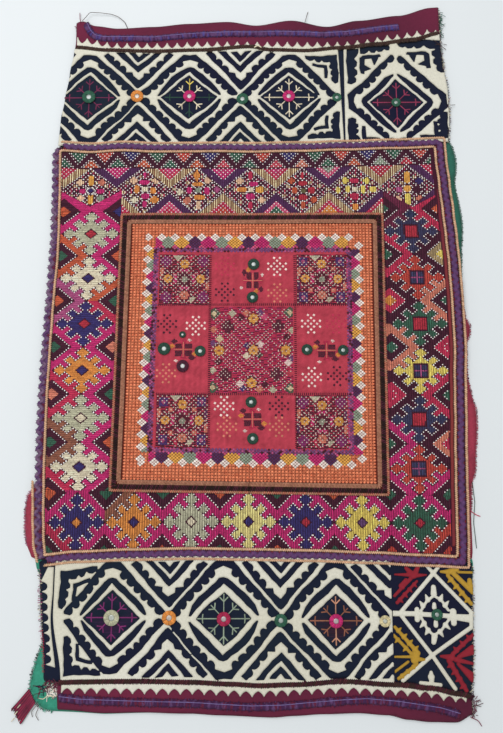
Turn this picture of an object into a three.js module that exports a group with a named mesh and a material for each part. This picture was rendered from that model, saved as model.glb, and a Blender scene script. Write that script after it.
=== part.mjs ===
// Embroidered patchwork table runner, lying flat. Millimetres, length along y, underside on z = 0.
import * as THREE from 'three';

// Layers, from the table up
const GAP = 0.3;
const LINING_THICK = 1.0;
const GROUND_THICK = 1.2;
const CUTWORK_THICK = 1.0;
const GROUND_LEVEL = LINING_THICK + GAP;
const CUTWORK_LEVEL = GROUND_LEVEL + GROUND_THICK + GAP;
const BAND_THICK = CUTWORK_LEVEL + CUTWORK_THICK - GROUND_LEVEL;
const TRIM_LEVEL = CUTWORK_LEVEL + CUTWORK_THICK + GAP;

// Trims
const TAN_CORD_HALF = 1.1;
const TAN_CORD_HEIGHT = 1.6;
const TAN_CORD_OFFSET = 5.0;
const RIGHT_SIDE_STRETCH = 1.12;
const BRAID_HALF = 3.5;
const BRAID_HEIGHT = 1.0;
const END_CORD_HALF = 1.9;
const END_CORD_HEIGHT = 1.8;
const RED_STRIP_WIDTH = 4.4;
const RED_STRIP_HEIGHT = 0.8;
const SCALLOP_PITCH = 9.8;
const SCALLOP_DEPTH = 0.8;
const SCALLOP_HALF = 2.4;
const SCALLOP_SHIFT = -1.0;
const TEETH_DEPTH = 6;
const MIRROR_HEIGHT = 1.9;
const MIRROR_SIDES = 10;
const OUTLINE_STEP = 14;
const HAND_WAVER = 0.4;

// Seam lines across the cloth: height y at each x
const SEAMS = {
  topEdge: {
    x: [-197, -191, -175, -150, -110, -70, -27, 5, 45, 85, 120, 165, 203, 211],
    y: [358.5, 361, 355, 352, 354.5, 358, 360, 355.5, 362, 354.5, 362, 367.5, 377.5, 378],
  },
  topTeeth: {
    x: [-196, -190, -150, -90, -60, 100, 124, 157, 190, 211],
    y: [342, 340, 334, 334, 335.5, 335.5, 338, 344, 349, 353],
  },
  topCord: {
    x: [-197, -160, -110, -60, 0, 20, 60, 100, 140, 180, 211],
    y: [327.5, 324, 322.7, 324, 328.3, 324.5, 323.5, 327, 331.5, 337, 344.5],
  },
  topBraid: {
    x: [-212, -175, -140, -100, -40, 0, 60, 100, 150, 216],
    y: [209.5, 207.5, 209.5, 208, 208.5, 208, 209, 210.5, 212, 214],
  },
  bottomBraid: {
    x: [-210, -170, -120, -60, 0, 60, 120, 170, 218],
    y: [-226, -222.5, -220.5, -219.5, -220.5, -221.5, -223.5, -226, -228],
  },
  bottomCord: {
    x: [-200, -160, -110, -60, -20, 10, 40, 90, 140, 170, 200, 214],
    y: [-339.5, -338.5, -337.8, -338.5, -340.5, -342, -341, -338, -341, -344, -349.5, -353],
  },
  bottomTeeth: {
    x: [-190, -150, -60, -20, 0, 30, 60, 95, 130, 165, 190, 212],
    y: [-350, -350, -350.5, -352, -353, -352, -350.5, -349.5, -351, -353, -357, -361],
  },
  bottomEdge: {
    x: [-186, -140, -100, -60, -30, 20, 40, 70, 100, 130, 150, 170, 195, 212],
    y: [-364, -367, -366.5, -367.5, -369, -371, -369.5, -368, -367, -369, -373, -375, -375.5, -368],
  },
};

// Edges and side seams down the cloth: place x at each y
const SIDES = {
  leftTop: {
    y: [205, 240, 265, 295, 320, 335, 362],
    x: [-211, -209.5, -206, -202, -198.5, -196.5, -197],
  },
  rightTop: {
    y: [205, 240, 275, 305, 328, 340, 380],
    x: [214, 217, 217, 214, 212, 211, 211],
  },
  leftBottom: {
    y: [-350, -335, -320, -305, -290, -270, -250, -220],
    x: [-196, -200, -200.5, -202, -204, -206, -207.5, -210],
  },
  rightBottom: {
    y: [-378, -346, -335, -310, -290, -260, -220],
    x: [211, 211, 213, 214.5, 215, 216.5, 217.5],
  },
  bandLeftEnd: { y: [-370, -340], x: [-185, -187] },
  leftSlit: { y: [-340, -275, -225], x: [-183.3, -193.2, -193.2] },
  leftBraid: {
    y: [-230, -200, -150, -130, -85, -30, 12, 60, 110, 150, 195, 214],
    x: [-206, -211.5, -212.8, -213.3, -214, -213.5, -212, -210.5, -209.6, -210.3, -211.5, -211],
  },
  leftCord: {
    y: [-224, -200, -170, -130, -60, -20, 20, 50, 80, 110, 150, 206],
    x: [-203.3, -206, -207.5, -208.5, -209, -208.5, -207.5, -206.5, -205, -205.2, -206, -207.5],
  },
  rightBraid: {
    y: [-230, -200, -160, -120, -80, -50, -10, 30, 75, 105, 135, 165, 195, 216],
    x: [208, 209.4, 210.2, 211.2, 212.9, 214, 216, 215.4, 214.2, 212.5, 210.4, 207.8, 205.3, 204.4],
  },
};

// Corners of the centre panel
const CENTRE = {
  topLeft: [-138.9, 131.8],
  topRight: [140.2, 132.4],
  bottomRight: [137.3, -163.2],
  bottomLeft: [-142.0, -158.8],
};

// Mirrors: place and ring radius
const MIRRORS = [
  { name: 'mirror_top_1', x: -179, y: 267, r: 7.2, ring: 'green' },
  { name: 'mirror_top_2', x: -68.5, y: 268.5, r: 6.6, ring: 'pink' },
  { name: 'mirror_top_3', x: 41, y: 268, r: 6.6, ring: 'pink' },
  { name: 'mirror_top_4', x: 159, y: 261, r: 5.0, ring: 'green' },
  { name: 'mirror_top_join_1', x: -126, y: 268, r: 6.8, ring: 'orange' },
  { name: 'mirror_top_join_2', x: -10, y: 265, r: 6.4, ring: 'green' },
  { name: 'mirror_top_join_3', x: 94, y: 267, r: 5.0, ring: 'green' },
  { name: 'mirror_bottom_1', x: -136, y: -280, r: 7.4, ring: 'cream' },
  { name: 'mirror_bottom_2', x: -27, y: -281, r: 6.6, ring: 'red' },
  { name: 'mirror_bottom_3', x: 82, y: -283, r: 6.6, ring: 'pink' },
  { name: 'mirror_bottom_4', x: 178, y: -277.5, r: 5.4, ring: 'green' },
  { name: 'mirror_bottom_join_1', x: -80, y: -280, r: 6.8, ring: 'orange' },
  { name: 'mirror_bottom_join_2', x: 28.5, y: -282.5, r: 6.2, ring: 'green' },
  { name: 'mirror_bottom_join_3', x: 129.5, y: -283, r: 5.8, ring: 'cream' },
  { name: 'mirror_patch_top_1', x: 0.5, y: 77, r: 6.0, ring: 'green' },
  { name: 'mirror_patch_top_2', x: 0, y: 40.5, r: 5.8, ring: 'green' },
  { name: 'mirror_patch_left_1', x: -91, y: -13.5, r: 6.4, ring: 'green' },
  { name: 'mirror_patch_left_2', x: -53.5, y: -16.5, r: 5.6, ring: 'green' },
  { name: 'mirror_patch_left_3', x: -71.5, y: -32, r: 6.2, ring: 'maroon' },
  { name: 'mirror_patch_left_4', x: -72, y: 0.5, r: 3.4, ring: 'green' },
  { name: 'mirror_patch_right_1', x: 56.5, y: -15.5, r: 5.6, ring: 'green' },
  { name: 'mirror_patch_right_2', x: 93.5, y: -16, r: 5.4, ring: 'green' },
  { name: 'mirror_patch_bottom_1', x: -1, y: -70, r: 5.6, ring: 'green' },
  { name: 'mirror_patch_bottom_2', x: 1, y: -106, r: 5.6, ring: 'green' },
];

// Lining outlines, each anticlockwise from its lower left corner
const LINING_TOP = [
  [-207, 62], [221.5, 62], [222.5, 76], [223, 94], [225, 108], [225.5, 126], [223, 145], [220.5, 160],
  [219.5, 170], [222, 185], [222, 198], [219, 210], [215.5, 217], [215, 260], [212, 300], [209, 340],
  [208, 373], [165, 364], [120, 357], [80, 351], [0, 352], [-70, 354], [-150, 348], [-194, 355],
  [-195, 335], [-200, 297], [-207, 217],
];
const LINING_MIDDLE = [
  [-217, -225], [219, -225], [219.5, -180], [221, -152], [225, -143], [226.5, -135], [227, -120],
  [229, -105], [230, -90], [229.7, -77], [226.5, -66], [225.5, -58], [223, -48], [222.5, -30], [223.5, -6],
  [227.5, 0], [228, 11], [224, 18], [222, 30], [221.5, 61.7], [-207, 61.7], [-210, -80], [-212, -150],
  [-219, -156], [-224, -163], [-226, -175], [-225.5, -195], [-223, -212],
];
const LINING_BOTTOM = [
  [-213, -343], [-210.5, -352], [-205, -358.5], [-199.5, -363.5], [-190, -365.5], [-140, -368], [-60, -366],
  [20, -369], [100, -365], [150, -371], [195, -373.5], [208, -366], [209, -345], [213, -300], [215, -260],
  [218.5, -237], [219, -225.3], [-214, -225.3], [-212, -234], [-205, -247], [-204, -275], [-201, -300],
  [-204.5, -310], [-207, -318], [-211, -332],
];

// Routes of the rickracks on the end bands
const TOP_RICKRACK = [
  [-186, 357], [-182, 348], [-176, 341.5], [-165, 339.3], [-110, 339], [-90, 341], [-60, 343.5], [-30, 344.5],
  [0, 344.7], [30, 345.5], [60, 345.5], [80, 343.7], [110, 346], [130, 349], [150, 351.5], [165, 353],
];
const BOTTOM_RICKRACK = [
  [-184, -353], [-165, -355.3], [-120, -356.7], [-60, -358], [-20, -360.3], [0, -361.5], [30, -360.5],
  [60, -358], [90, -355.5], [110, -354.7], [140, -357], [160, -360], [180, -363], [198, -368],
];

// Frayed strip at the lower left corner: its root along the lining, its sides, and how far each lock frays
const FRAY_ROOT = [[-206.6, -358.3], [-211.2, -352.5], [-213.4, -345.6]];
const FRAY_TIP = { left: [-230, -364.5], right: [-220, -378] };
const FRAY_LOCKS = [0, 2.2, 1.0, 3.0, 0.6, 2.4, 1.4, 0];
const FRAY_SLIT = 9;
const FRAY_THICK = 2.2;

const COLOURS = {
  greenLining: 0x3f9a78,
  roseLining: 0xc04860,
  navy: 0x1e2038,
  maroon: 0x6b2f45,
  cream: 0xe0dcc8,
  purple: 0x5a3f85,
  tan: 0xd8b878,
  darkCord: 0x4a2a35,
  embroidery: 0xa03058,
  redStrip: 0xa8383c,
  orangeCloth: 0xd9703f,
  terracotta: 0xb5553f,
  darkBraid: 0x33231e,
  tanBrown: 0xb88a68,
  red: 0xa83040,
  yellow: 0xd0a848,
  green: 0x2e6048,
  pink: 0xb82f6a,
  orange: 0xd98c4f,
};

const runner = new THREE.Group();

function material(colour, roughness = 0.9) {
  return new THREE.MeshStandardMaterial({ color: COLOURS[colour], roughness, metalness: 0 });
}

// Smooth run through a table of places and values
function follow(places, values, place) {
  const last = places.length - 1;
  if (place <= places[0]) return values[0];
  if (place >= places[last]) return values[last];
  let i = 0;
  while (places[i + 1] < place) i += 1;
  const t = (place - places[i]) / (places[i + 1] - places[i]);
  return values[i] + (values[i + 1] - values[i]) * t * t * (3 - 2 * t);
}

const seam = (name, shift = 0) => (x) => follow(SEAMS[name].x, SEAMS[name].y, x) + shift;
const side = (name, shift = 0) => (y) => follow(SIDES[name].y, SIDES[name].x, y) + shift;

// Straight side through two points: place x at height y
function straightSide([x0, y0], [x1, y1], shift = 0) {
  return (y) => x0 + ((x1 - x0) * (y - y0)) / (y1 - y0) + shift;
}

// Straight seam through two points: height y at place x
function straightSeam([x0, y0], [x1, y1], shift = 0) {
  return (x) => y0 + ((y1 - y0) * (x - x0)) / (x1 - x0) + shift;
}

function cornerOf(seamLine, sideLine) {
  let x = 0;
  for (let round = 0; round < 6; round += 1) x = sideLine(seamLine(x));
  return [x, seamLine(x)];
}

function alongSeam(seamLine, x0, x1) {
  const count = Math.max(1, Math.round(Math.abs(x1 - x0) / OUTLINE_STEP));
  return Array.from({ length: count + 1 }, (_, i) => {
    const x = x0 + ((x1 - x0) * i) / count;
    return [x, seamLine(x)];
  });
}

function alongSide(sideLine, y0, y1) {
  const count = Math.max(1, Math.round(Math.abs(y1 - y0) / OUTLINE_STEP));
  return Array.from({ length: count + 1 }, (_, i) => {
    const y = y0 + ((y1 - y0) * i) / count;
    return [sideLine(y), y];
  });
}

// Outline of a piece between an upper and a lower seam and a left and a right side
function panelOutline(upper, lower, left, right) {
  const topLeft = cornerOf(upper, left);
  const topRight = cornerOf(upper, right);
  const bottomRight = cornerOf(lower, right);
  const bottomLeft = cornerOf(lower, left);
  return [
    ...alongSeam(lower, bottomLeft[0], bottomRight[0]).slice(0, -1),
    ...alongSide(right, bottomRight[1], topRight[1]).slice(0, -1),
    ...alongSeam(upper, topRight[0], topLeft[0]).slice(0, -1),
    ...alongSide(left, topLeft[1], bottomLeft[1]).slice(0, -1),
  ];
}

// Closed outline of a ribbon of even width along a route
function ribbonOutline(route, half) {
  const shifted = (sign) => route.map(([x, y], i) => {
    const before = route[Math.max(i - 1, 0)];
    const after = route[Math.min(i + 1, route.length - 1)];
    const length = Math.hypot(after[0] - before[0], after[1] - before[1]);
    return [x - (sign * half * (after[1] - before[1])) / length, y + (sign * half * (after[0] - before[0])) / length];
  });
  return [...shifted(-1), ...shifted(1).reverse()];
}

const toVectors = (points) => points.map(([x, y]) => new THREE.Vector2(x, y));

// Drops the points that lie on a straight run
function cornersOnly(points) {
  const count = points.length;
  return points.filter(([x, y], i) => {
    const [x0, y0] = points[(i + count - 1) % count];
    const [x1, y1] = points[(i + 1) % count];
    return Math.abs((x - x0) * (y1 - y0) - (y - y0) * (x1 - x0)) > 0.001;
  });
}

// A flat piece of cloth or trim with the given outline and openings
function addSheet(name, outline, level, thick, colour, openings = []) {
  const shape = new THREE.Shape(toVectors(cornersOnly(outline)));
  shape.holes = openings.map((points) => new THREE.Path(toVectors(cornersOnly(points))));
  const geometry = new THREE.ExtrudeGeometry(shape, { depth: thick, bevelEnabled: false, curveSegments: 1 });
  const mesh = new THREE.Mesh(geometry, material(colour));
  mesh.name = name;
  mesh.position.z = level;
  runner.add(mesh);
}

// Cut-work motifs, drawn about a diamond's middle or about the join between two diamonds
const DIAMOND = {
  inner: { wide: 28, tall: 25 },
  bar: { outerApex: 38.5, shoulder: [26, 17.5], tip: [34.5, 4], heel: [33, 2.2], innerApex: 33 },
  band: { top: [4, 55], end: [50, 5.5], foot: [46, 2], house: [5.5, 47.5], houseTip: 50.5 },
  stairs: { first: [7, 43.5], step: [6.8, -7.2], count: 6, round: 2 },
};
const JOIN = {
  band: { apex: 13, end: [36, 52.5], foot: [33, 54.5], house: [5, 25.5], houseTip: 20.5, houseTop: [5.5, 31.5] },
  stairs: { first: [12.3, 32.3], step: [6.8, 7.2], count: 3, round: 2 },
  bar: { outerApex: 33, end: [21.5, 54.5], innerEnd: [16.5, 54.5], innerApex: 38.5 },
  small: { outerApex: 46, end: [9, 54.5], innerEnd: [4, 54.5], innerApex: 51 },
};

const mirrored = (points) => points.map(([x, y]) => [-x, y]).reverse();

// Sawtooth edge of a scalloped band: steps with the dark corners rounded
function stairs({ first, step, count, round }) {
  const points = [];
  for (let k = 0; k < count; k += 1) {
    const [x, y] = [first[0] + step[0] * k, first[1] + step[1] * k];
    const foot = y + step[1];
    points.push([x, y], [x, foot - Math.sign(step[1]) * round], [x + round, foot]);
  }
  return points;
}

// The openings above a diamond's middle line: its scalloped band and its straight bar
function diamondHalf() {
  const { bar, band } = DIAMOND;
  const steps = stairs(DIAMOND.stairs);
  const bandArm = [band.top, band.end, band.foot, ...steps.slice(0, -1).reverse(), band.house];
  const barArm = [[0, bar.outerApex], bar.shoulder, bar.tip, bar.heel];
  return [
    [...bandArm, [0, band.houseTip], ...mirrored(bandArm)],
    [...barArm, [0, bar.innerApex], ...mirrored(barArm).slice(0, -1)],
  ];
}

function diamondMiddle() {
  const { wide, tall } = DIAMOND.inner;
  return [[wide, 0], [0, tall], [-wide, 0], [0, -tall]];
}

// The openings above a join: its scalloped band, its straight bar and the small one
function joinHalf() {
  const { band, bar, small } = JOIN;
  const steps = stairs(JOIN.stairs);
  const bandArm = [[0, band.apex], band.end, band.foot, ...steps.slice().reverse(), band.houseTop, band.house];
  const chevron = (c) => {
    const arm = [[0, c.outerApex], c.end, c.innerEnd];
    return [...arm, [0, c.innerApex], ...mirrored(arm).slice(0, -1)];
  };
  return [
    [...bandArm, [0, band.houseTip], ...mirrored(bandArm).slice(0, -1)],
    chevron(bar),
    chevron(small),
  ];
}

// A scalloped corner piece with a smaller one inside it
const CORNER = [
  [[0, 0], [35, 1], [35, 4], [29, 6.5], [25, 4.5], [21, 7.5], [17, 5], [13, 8], [8, 7], [7, 10], [8.5, 14],
    [5.5, 17], [8, 21], [5.5, 25], [6.5, 29], [3, 33], [0, 32]],
  [[13, 13], [27, 12], [28, 14.5], [17, 16.5], [16, 27], [13.5, 27]],
];

// A scalloped strip that stands alone
const ARM = [
  [0, 0], [9, 0], [8.5, 5], [6, 8], [8.5, 12], [6, 15], [8, 19], [5.5, 22], [6, 26], [3, 28], [0, 27],
];

const turned = (shapes) => shapes.map((points) => points.map(([u, v]) => [v, u]));

// Motifs set in place, with their own scale across, upwards and downwards
function moved(shapes, x, y, across, up, down = up) {
  return shapes.map((points) => points.map(([u, v]) => [x + across * u, y + (v >= 0 ? up : down) * v]));
}

// The small waver of an edge cut and turned under by hand
function handCut(shapes) {
  return shapes.map((points) => points.map(([x, y]) => [
    x + HAND_WAVER * Math.sin(y * 0.21 + x * 0.05), y + HAND_WAVER * Math.sin(x * 0.17 + y * 0.043),
  ]));
}

function diamondOpenings(x, y, wide, up, down) {
  return [
    ...moved(diamondHalf(), x, y, wide, up),
    ...moved(diamondHalf(), x, y, wide, -down),
    ...moved([diamondMiddle()], x, y, wide, (up + down) / 2),
  ];
}

function joinOpenings(x, y, wide, up, down) {
  return [...moved(joinHalf(), x, y, wide, up), ...moved(joinHalf(), x, y, wide, -down)];
}

// The pieces of one opening that lie to the left of a line, given each point's height over it and place along it
function piecesLeftOfLine(points, height, place) {
  const start = points.findIndex((point) => height(point) < 0);
  if (start < 0) return [points];
  const chains = [];
  for (let i = 0; i < points.length; i += 1) {
    const point = points[(start + i) % points.length];
    const next = points[(start + i + 1) % points.length];
    const [a, b] = [height(point), height(next)];
    const t = a / (a - b);
    const crossing = [point[0] + t * (next[0] - point[0]), point[1] + t * (next[1] - point[1])];
    if (a >= 0) chains.at(-1).push(point);
    if (a < 0 && b >= 0) chains.push([crossing]);
    if (a >= 0 && b < 0) chains.at(-1).push(crossing);
  }
  const ends = chains.flatMap((chain) => [chain[0], chain.at(-1)]).sort((a, b) => place(a) - place(b));
  const partner = (point) => ends[ends.indexOf(point) ^ 1];
  const pieces = [];
  while (chains.length > 0) {
    const piece = chains.pop();
    const follower = () => chains.findIndex((chain) => chain[0] === partner(piece.at(-1)));
    for (let next = follower(); next >= 0; next = follower()) piece.push(...chains.splice(next, 1)[0]);
    pieces.push(piece);
  }
  return pieces;
}

// Keeps what lies to the left of the line from p to q
function clipped(shapes, p, q) {
  const [dx, dy] = [q[0] - p[0], q[1] - p[1]];
  const height = ([x, y]) => dx * (y - p[1]) - dy * (x - p[0]);
  const place = ([x, y]) => dx * (x - p[0]) + dy * (y - p[1]);
  return shapes.flatMap((points) => piecesLeftOfLine(points, height, place));
}

function addLinings() {
  addSheet('lining_top', LINING_TOP, 0, LINING_THICK, 'greenLining');
  addSheet('lining_middle', LINING_MIDDLE, 0, LINING_THICK, 'roseLining');
  addSheet('lining_bottom', LINING_BOTTOM, 0, LINING_THICK, 'greenLining');
}

function addEndGrounds() {
  const half = GAP / 2;
  const top = panelOutline(seam('topCord', -half), seam('topBraid', half), side('leftTop'), side('rightTop'));
  const bottom = panelOutline(
    seam('bottomBraid', -half), seam('bottomCord', half), side('leftBottom'), side('rightBottom'));
  addSheet('ground_top', top, GROUND_LEVEL, GROUND_THICK, 'navy');
  addSheet('ground_bottom', bottom, GROUND_LEVEL, GROUND_THICK, 'navy');
}

function addEndBands() {
  const half = GAP / 2;
  const top = panelOutline(seam('topEdge'), seam('topCord', half), side('leftTop'), side('rightTop'));
  const bottom = panelOutline(
    seam('bottomCord', -half), seam('bottomEdge'), side('bandLeftEnd'), side('rightBottom'));
  addSheet('end_band_top', top, GROUND_LEVEL, GROUND_THICK, 'maroon');
  addSheet('end_band_bottom', bottom, GROUND_LEVEL, GROUND_THICK, 'maroon');
}

// Cream strip whose teeth point outwards onto the end band
function sawtoothOutline(base, points, x0, x1, teeth, depth) {
  const pitch = (x1 - x0) / teeth;
  const edge = [];
  for (let k = 0; k < teeth; k += 1) {
    const x = x0 + pitch * k;
    const dome = (place, rise) => [x + pitch * place, points(x + pitch * place) - depth * rise];
    edge.push(dome(0.06, 0.6), dome(0.28, 0.92), dome(0.5, 0), dome(0.72, 0.92), dome(0.94, 0.6));
  }
  return [...alongSeam(base, x0, x1), ...edge.reverse()];
}

function addSawtoothStrips() {
  const top = sawtoothOutline(seam('topCord', GAP), seam('topTeeth'), -195, 208, 36, TEETH_DEPTH);
  const bottom = sawtoothOutline(seam('bottomCord', -GAP), seam('bottomTeeth'), -182, 206, 34, -TEETH_DEPTH);
  addSheet('sawtooth_top', top, CUTWORK_LEVEL, CUTWORK_THICK, 'cream');
  addSheet('sawtooth_bottom', bottom, CUTWORK_LEVEL, CUTWORK_THICK, 'cream');
}

function addTopCutwork() {
  const upper = seam('topCord', -GAP);
  const lower = seam('topBraid', GAP);
  const leftCut = [[-206, 217], [-193.5, 345]];
  const main = [
    ...joinOpenings(-234, 267, 1, 1, 0.97),
    ...diamondOpenings(-179, 267, 1, 0.98, 0.94),
    ...joinOpenings(-124, 267.5, 1, 0.97, 0.95),
    ...diamondOpenings(-68.5, 268, 1.01, 0.98, 0.96),
    ...joinOpenings(-13, 267, 1, 1.02, 0.95),
    ...diamondOpenings(41.5, 267.5, 0.98, 0.98, 0.95),
    ...moved(CORNER, 96.5, 218.5, -1, 1),
    ...moved(CORNER, 95.5, 318, -1, -1),
  ];
  const mainOutline = panelOutline(upper, lower, side('leftTop'), straightSide([101.5, 213], [97, 326]));
  addSheet('cutwork_top_main', mainOutline, CUTWORK_LEVEL, CUTWORK_THICK, 'cream',
    handCut(clipped(main, leftCut[1], leftCut[0])));

  const half = turned(diamondHalf());
  const [, smallCorner] = CORNER;
  const block = [
    ...moved(half, 160, 262, 0.98, 1.1, 0.88),
    ...moved(half, 160, 262, -0.93, 1.1, 0.88),
    ...moved([diamondMiddle()], 160, 262, 1.05, 1.06),
    ...moved([ARM], 108, 216.5, 1, 1),
    ...moved([smallCorner], 109.5, 204.5, 1, 1),
    ...moved([ARM], 213, 220, -1.1, 1.05),
    ...moved([smallCorner], 212, 212.5, -0.9, 0.85),
    ...moved([ARM], 107, 324, 0.8, -1.45),
    ...moved(turned([ARM]), 122, 327, 1.15, -0.85),
    ...moved([smallCorner], 108.5, 328.8, 1, -1.1),
    ...moved([ARM], 210, 335.5, -0.75, -1.4),
    ...moved(turned([ARM]), 200.5, 333, -1.25, -0.75),
    ...moved([smallCorner], 215.2, 336.3, -1.4, -1.1),
  ];
  const blockOutline = panelOutline(upper, lower, straightSide([102.2, 213], [102.2, 326]), side('rightTop'));
  addSheet('cutwork_top_block', blockOutline, CUTWORK_LEVEL, CUTWORK_THICK, 'cream', handCut(block));
}

// Narrow strip at the bottom left whose teeth point to the edge
function leftStripOutline() {
  const teeth = 8;
  const [top, bottom] = [-246, -323];
  const pitch = (bottom - top) / teeth;
  const tips = side('leftBottom', 1.5);
  const points = [];
  for (let k = 0; k < teeth; k += 1) {
    const y = top + pitch * k;
    points.push([tips(y), y], [tips(y) + 6, y + pitch * 0.3], [tips(y) + 6, y + pitch * 0.75]);
  }
  points.push([tips(bottom), bottom], ...alongSide(side('leftSlit', -1), -326, -232.5), [-200, -232.5]);
  return points;
}

function addBottomCutwork() {
  const upper = seam('bottomBraid', -GAP);
  const lower = seam('bottomCord', GAP);
  addSheet('cutwork_bottom_strip', leftStripOutline(), CUTWORK_LEVEL, CUTWORK_THICK, 'cream');

  const main = [
    ...moved(CORNER, -189.5, -231.5, 1.05, -1.1),
    ...moved(CORNER, -180.5, -333.5, 1.0, 1.05),
    ...diamondOpenings(-136, -280, 0.95, 0.95, 0.92),
    ...joinOpenings(-80.5, -280, 1, 0.97, 0.99),
    ...diamondOpenings(-27, -281, 0.98, 1.0, 1.0),
    ...joinOpenings(28.5, -282.5, 1, 1.02, 0.99),
    ...diamondOpenings(82, -283, 0.97, 1.0, 0.96),
    ...joinOpenings(136, -283, 1, 0.98, 0.97),
  ];
  const rightCut = [[134, -345], [134, -220]];
  const mainOutline = panelOutline(upper, lower, side('leftSlit'), straightSide([137, -228], [137, -345]));
  addSheet('cutwork_bottom_main', mainOutline, CUTWORK_LEVEL, CUTWORK_THICK, 'cream',
    handCut(clipped(main, ...rightCut)));
  addSheet('cutwork_bottom_block', blockLattice(), CUTWORK_LEVEL, CUTWORK_THICK, 'cream', handCut(blockWindows()));
}

// Bottom right block: a narrow diamond lattice, with its middle bar and a toothed ring round the mirror
const BLOCK = { x: 177.5, y: -278.5, wide: 37, tall: 38.5, line: 4.2, bar: 4.5, ring: 17, hub: 9 };

function blockLattice() {
  const { x, y, wide, tall } = BLOCK;
  return [
    [x + wide, y], [x + 3, y + tall - 2.4], [x + 9, y + tall + 5], [x + 4.5, y + tall + 5],
    [x, y + tall + 0.6], [x - 4.5, y + tall + 5], [x - 9, y + tall + 5], [x - 3, y + tall - 2.4],
    [x - wide, y], [x - 3, y - tall + 2.4], [x - 25, y - tall - 19], [x - 19.5, y - tall - 20],
    [x, y - tall - 1.5], [x + 19, y - tall - 25], [x + 24, y - tall - 26], [x + 3, y - tall + 2.4],
  ];
}

function blockWindows() {
  const { x, y, wide, tall, line, bar, ring, hub } = BLOCK;
  const slope = tall / wide;
  const inset = line * 1.45;
  const windows = [];
  for (const up of [1, -1]) {
    const outer = [];
    for (const across of [1, -1]) {
      const arm = [
        [across * (wide - inset - (bar / 2) / slope - 1), bar / 2 + 0.5],
        [across * (ring + 5), bar / 2 + 0.5],
        [across * (ring + 4), 6],
        [across * (ring - 1), 7],
        [across * (ring - 3), 12],
        [across * (ring - 8), 13],
        [across * (ring - 10), 18],
        [across * 3, 19],
      ];
      outer.push(across > 0 ? arm : arm.slice().reverse());
    }
    const apex = [[0, 25]];
    const roof = [[0, tall - inset]];
    windows.push([...outer[0], ...apex, ...outer[1], ...roof]);
    windows.push([[hub + 3, bar / 2 + 0.5], [1.5, 14], [-1.5, 14], [-hub - 3, bar / 2 + 0.5], [0, 7.2]]);
    const last = windows.length - 2;
    windows[last] = moved([windows[last]], x, y, 1, up)[0];
    windows[last + 1] = moved([windows[last + 1]], x, y, 1, up)[0];
  }
  return windows;
}

// Jagged leaf patches in the four corners of the bottom right block
const LEAF = [
  [0, 0], [7, -3.5], [10, -8], [15, -8.5], [18, -13.5], [24, -15], [25, -22], [33, -23], [33, 23], [25, 22],
  [24, 15], [18, 13.5], [15, 8.5], [10, 8], [7, 3.5],
];

function addLeaves() {
  const leaves = [
    { name: 'leaf_upper_left', x: 164, y: -236.5, turn: 212, size: 0.6, colour: 'red' },
    { name: 'leaf_upper_right', x: 192, y: -238, turn: -34, size: 0.56, colour: 'yellow' },
    { name: 'leaf_lower_left', x: 166.5, y: -317.5, turn: 180, size: 0.8, colour: 'yellow' },
    { name: 'leaf_lower_right', x: 184, y: -316.5, turn: -12, size: 0.8, colour: 'red' },
  ];
  for (const { name, x, y, turn, size, colour } of leaves) {
    const angle = THREE.MathUtils.degToRad(turn);
    const [c, s] = [Math.cos(angle) * size, Math.sin(angle) * size];
    const outline = LEAF.map(([u, v]) => [x + c * u - s * v, y + s * u + c * v]);
    addSheet(name, outline, CUTWORK_LEVEL, CUTWORK_THICK, colour);
  }
}

function addEndTrims() {
  const topCord = ribbonOutline(alongSeam(seam('topCord'), -195, 208), END_CORD_HALF);
  const bottomCord = ribbonOutline(alongSeam(seam('bottomCord'), -184, 211), END_CORD_HALF);
  addSheet('end_cord_top', topCord, TRIM_LEVEL, END_CORD_HEIGHT, 'darkCord');
  addSheet('end_cord_bottom', bottomCord, TRIM_LEVEL, END_CORD_HEIGHT, 'darkCord');
  addSheet('rickrack_top', ribbonOutline(TOP_RICKRACK, BRAID_HALF), TRIM_LEVEL, BRAID_HEIGHT, 'purple');
  addSheet('rickrack_bottom', ribbonOutline(BOTTOM_RICKRACK, BRAID_HALF), TRIM_LEVEL, BRAID_HEIGHT, 'purple');
}

// The embroidered square: four bands round the centre panel
function addBands() {
  const { topLeft, topRight, bottomRight, bottomLeft } = CENTRE;
  const left = side('leftBraid', SCALLOP_SHIFT);
  const right = side('rightBraid', TAN_CORD_OFFSET);
  const top = seam('topBraid', -GAP / 2);
  const bottom = seam('bottomBraid', GAP / 2);
  const centreTop = (shift) => straightSeam(topLeft, topRight, shift);
  const centreBottom = (shift) => straightSeam(bottomLeft, bottomRight, shift);
  const centreLeft = (shift) => straightSide(topLeft, bottomLeft, shift);
  const centreRight = (shift) => straightSide(topRight, bottomRight, shift);
  const outlines = {
    band_top: panelOutline(top, centreTop(GAP), left, right),
    band_left: panelOutline(centreTop(0), bottom, left, centreLeft(-GAP)),
    band_right: panelOutline(centreTop(0), bottom, centreRight(GAP), right),
    band_bottom: panelOutline(centreBottom(-GAP), bottom, centreLeft(0), centreRight(0)),
  };
  for (const [name, outline] of Object.entries(outlines)) {
    addSheet(name, outline, GROUND_LEVEL, BAND_THICK, 'embroidery');
  }
  addSheet('centre_panel', [bottomLeft, bottomRight, topRight, topLeft], GROUND_LEVEL, BAND_THICK, 'orangeCloth');
}

// The centre panel's outline drawn in by an even distance
function centreInset(inset) {
  const { topLeft, topRight, bottomRight, bottomLeft } = CENTRE;
  return [
    [bottomLeft[0] + inset, bottomLeft[1] + inset],
    [bottomRight[0] - inset, bottomRight[1] + inset],
    [topRight[0] - inset, topRight[1] - inset],
    [topLeft[0] + inset, topLeft[1] - inset],
  ];
}

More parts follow.
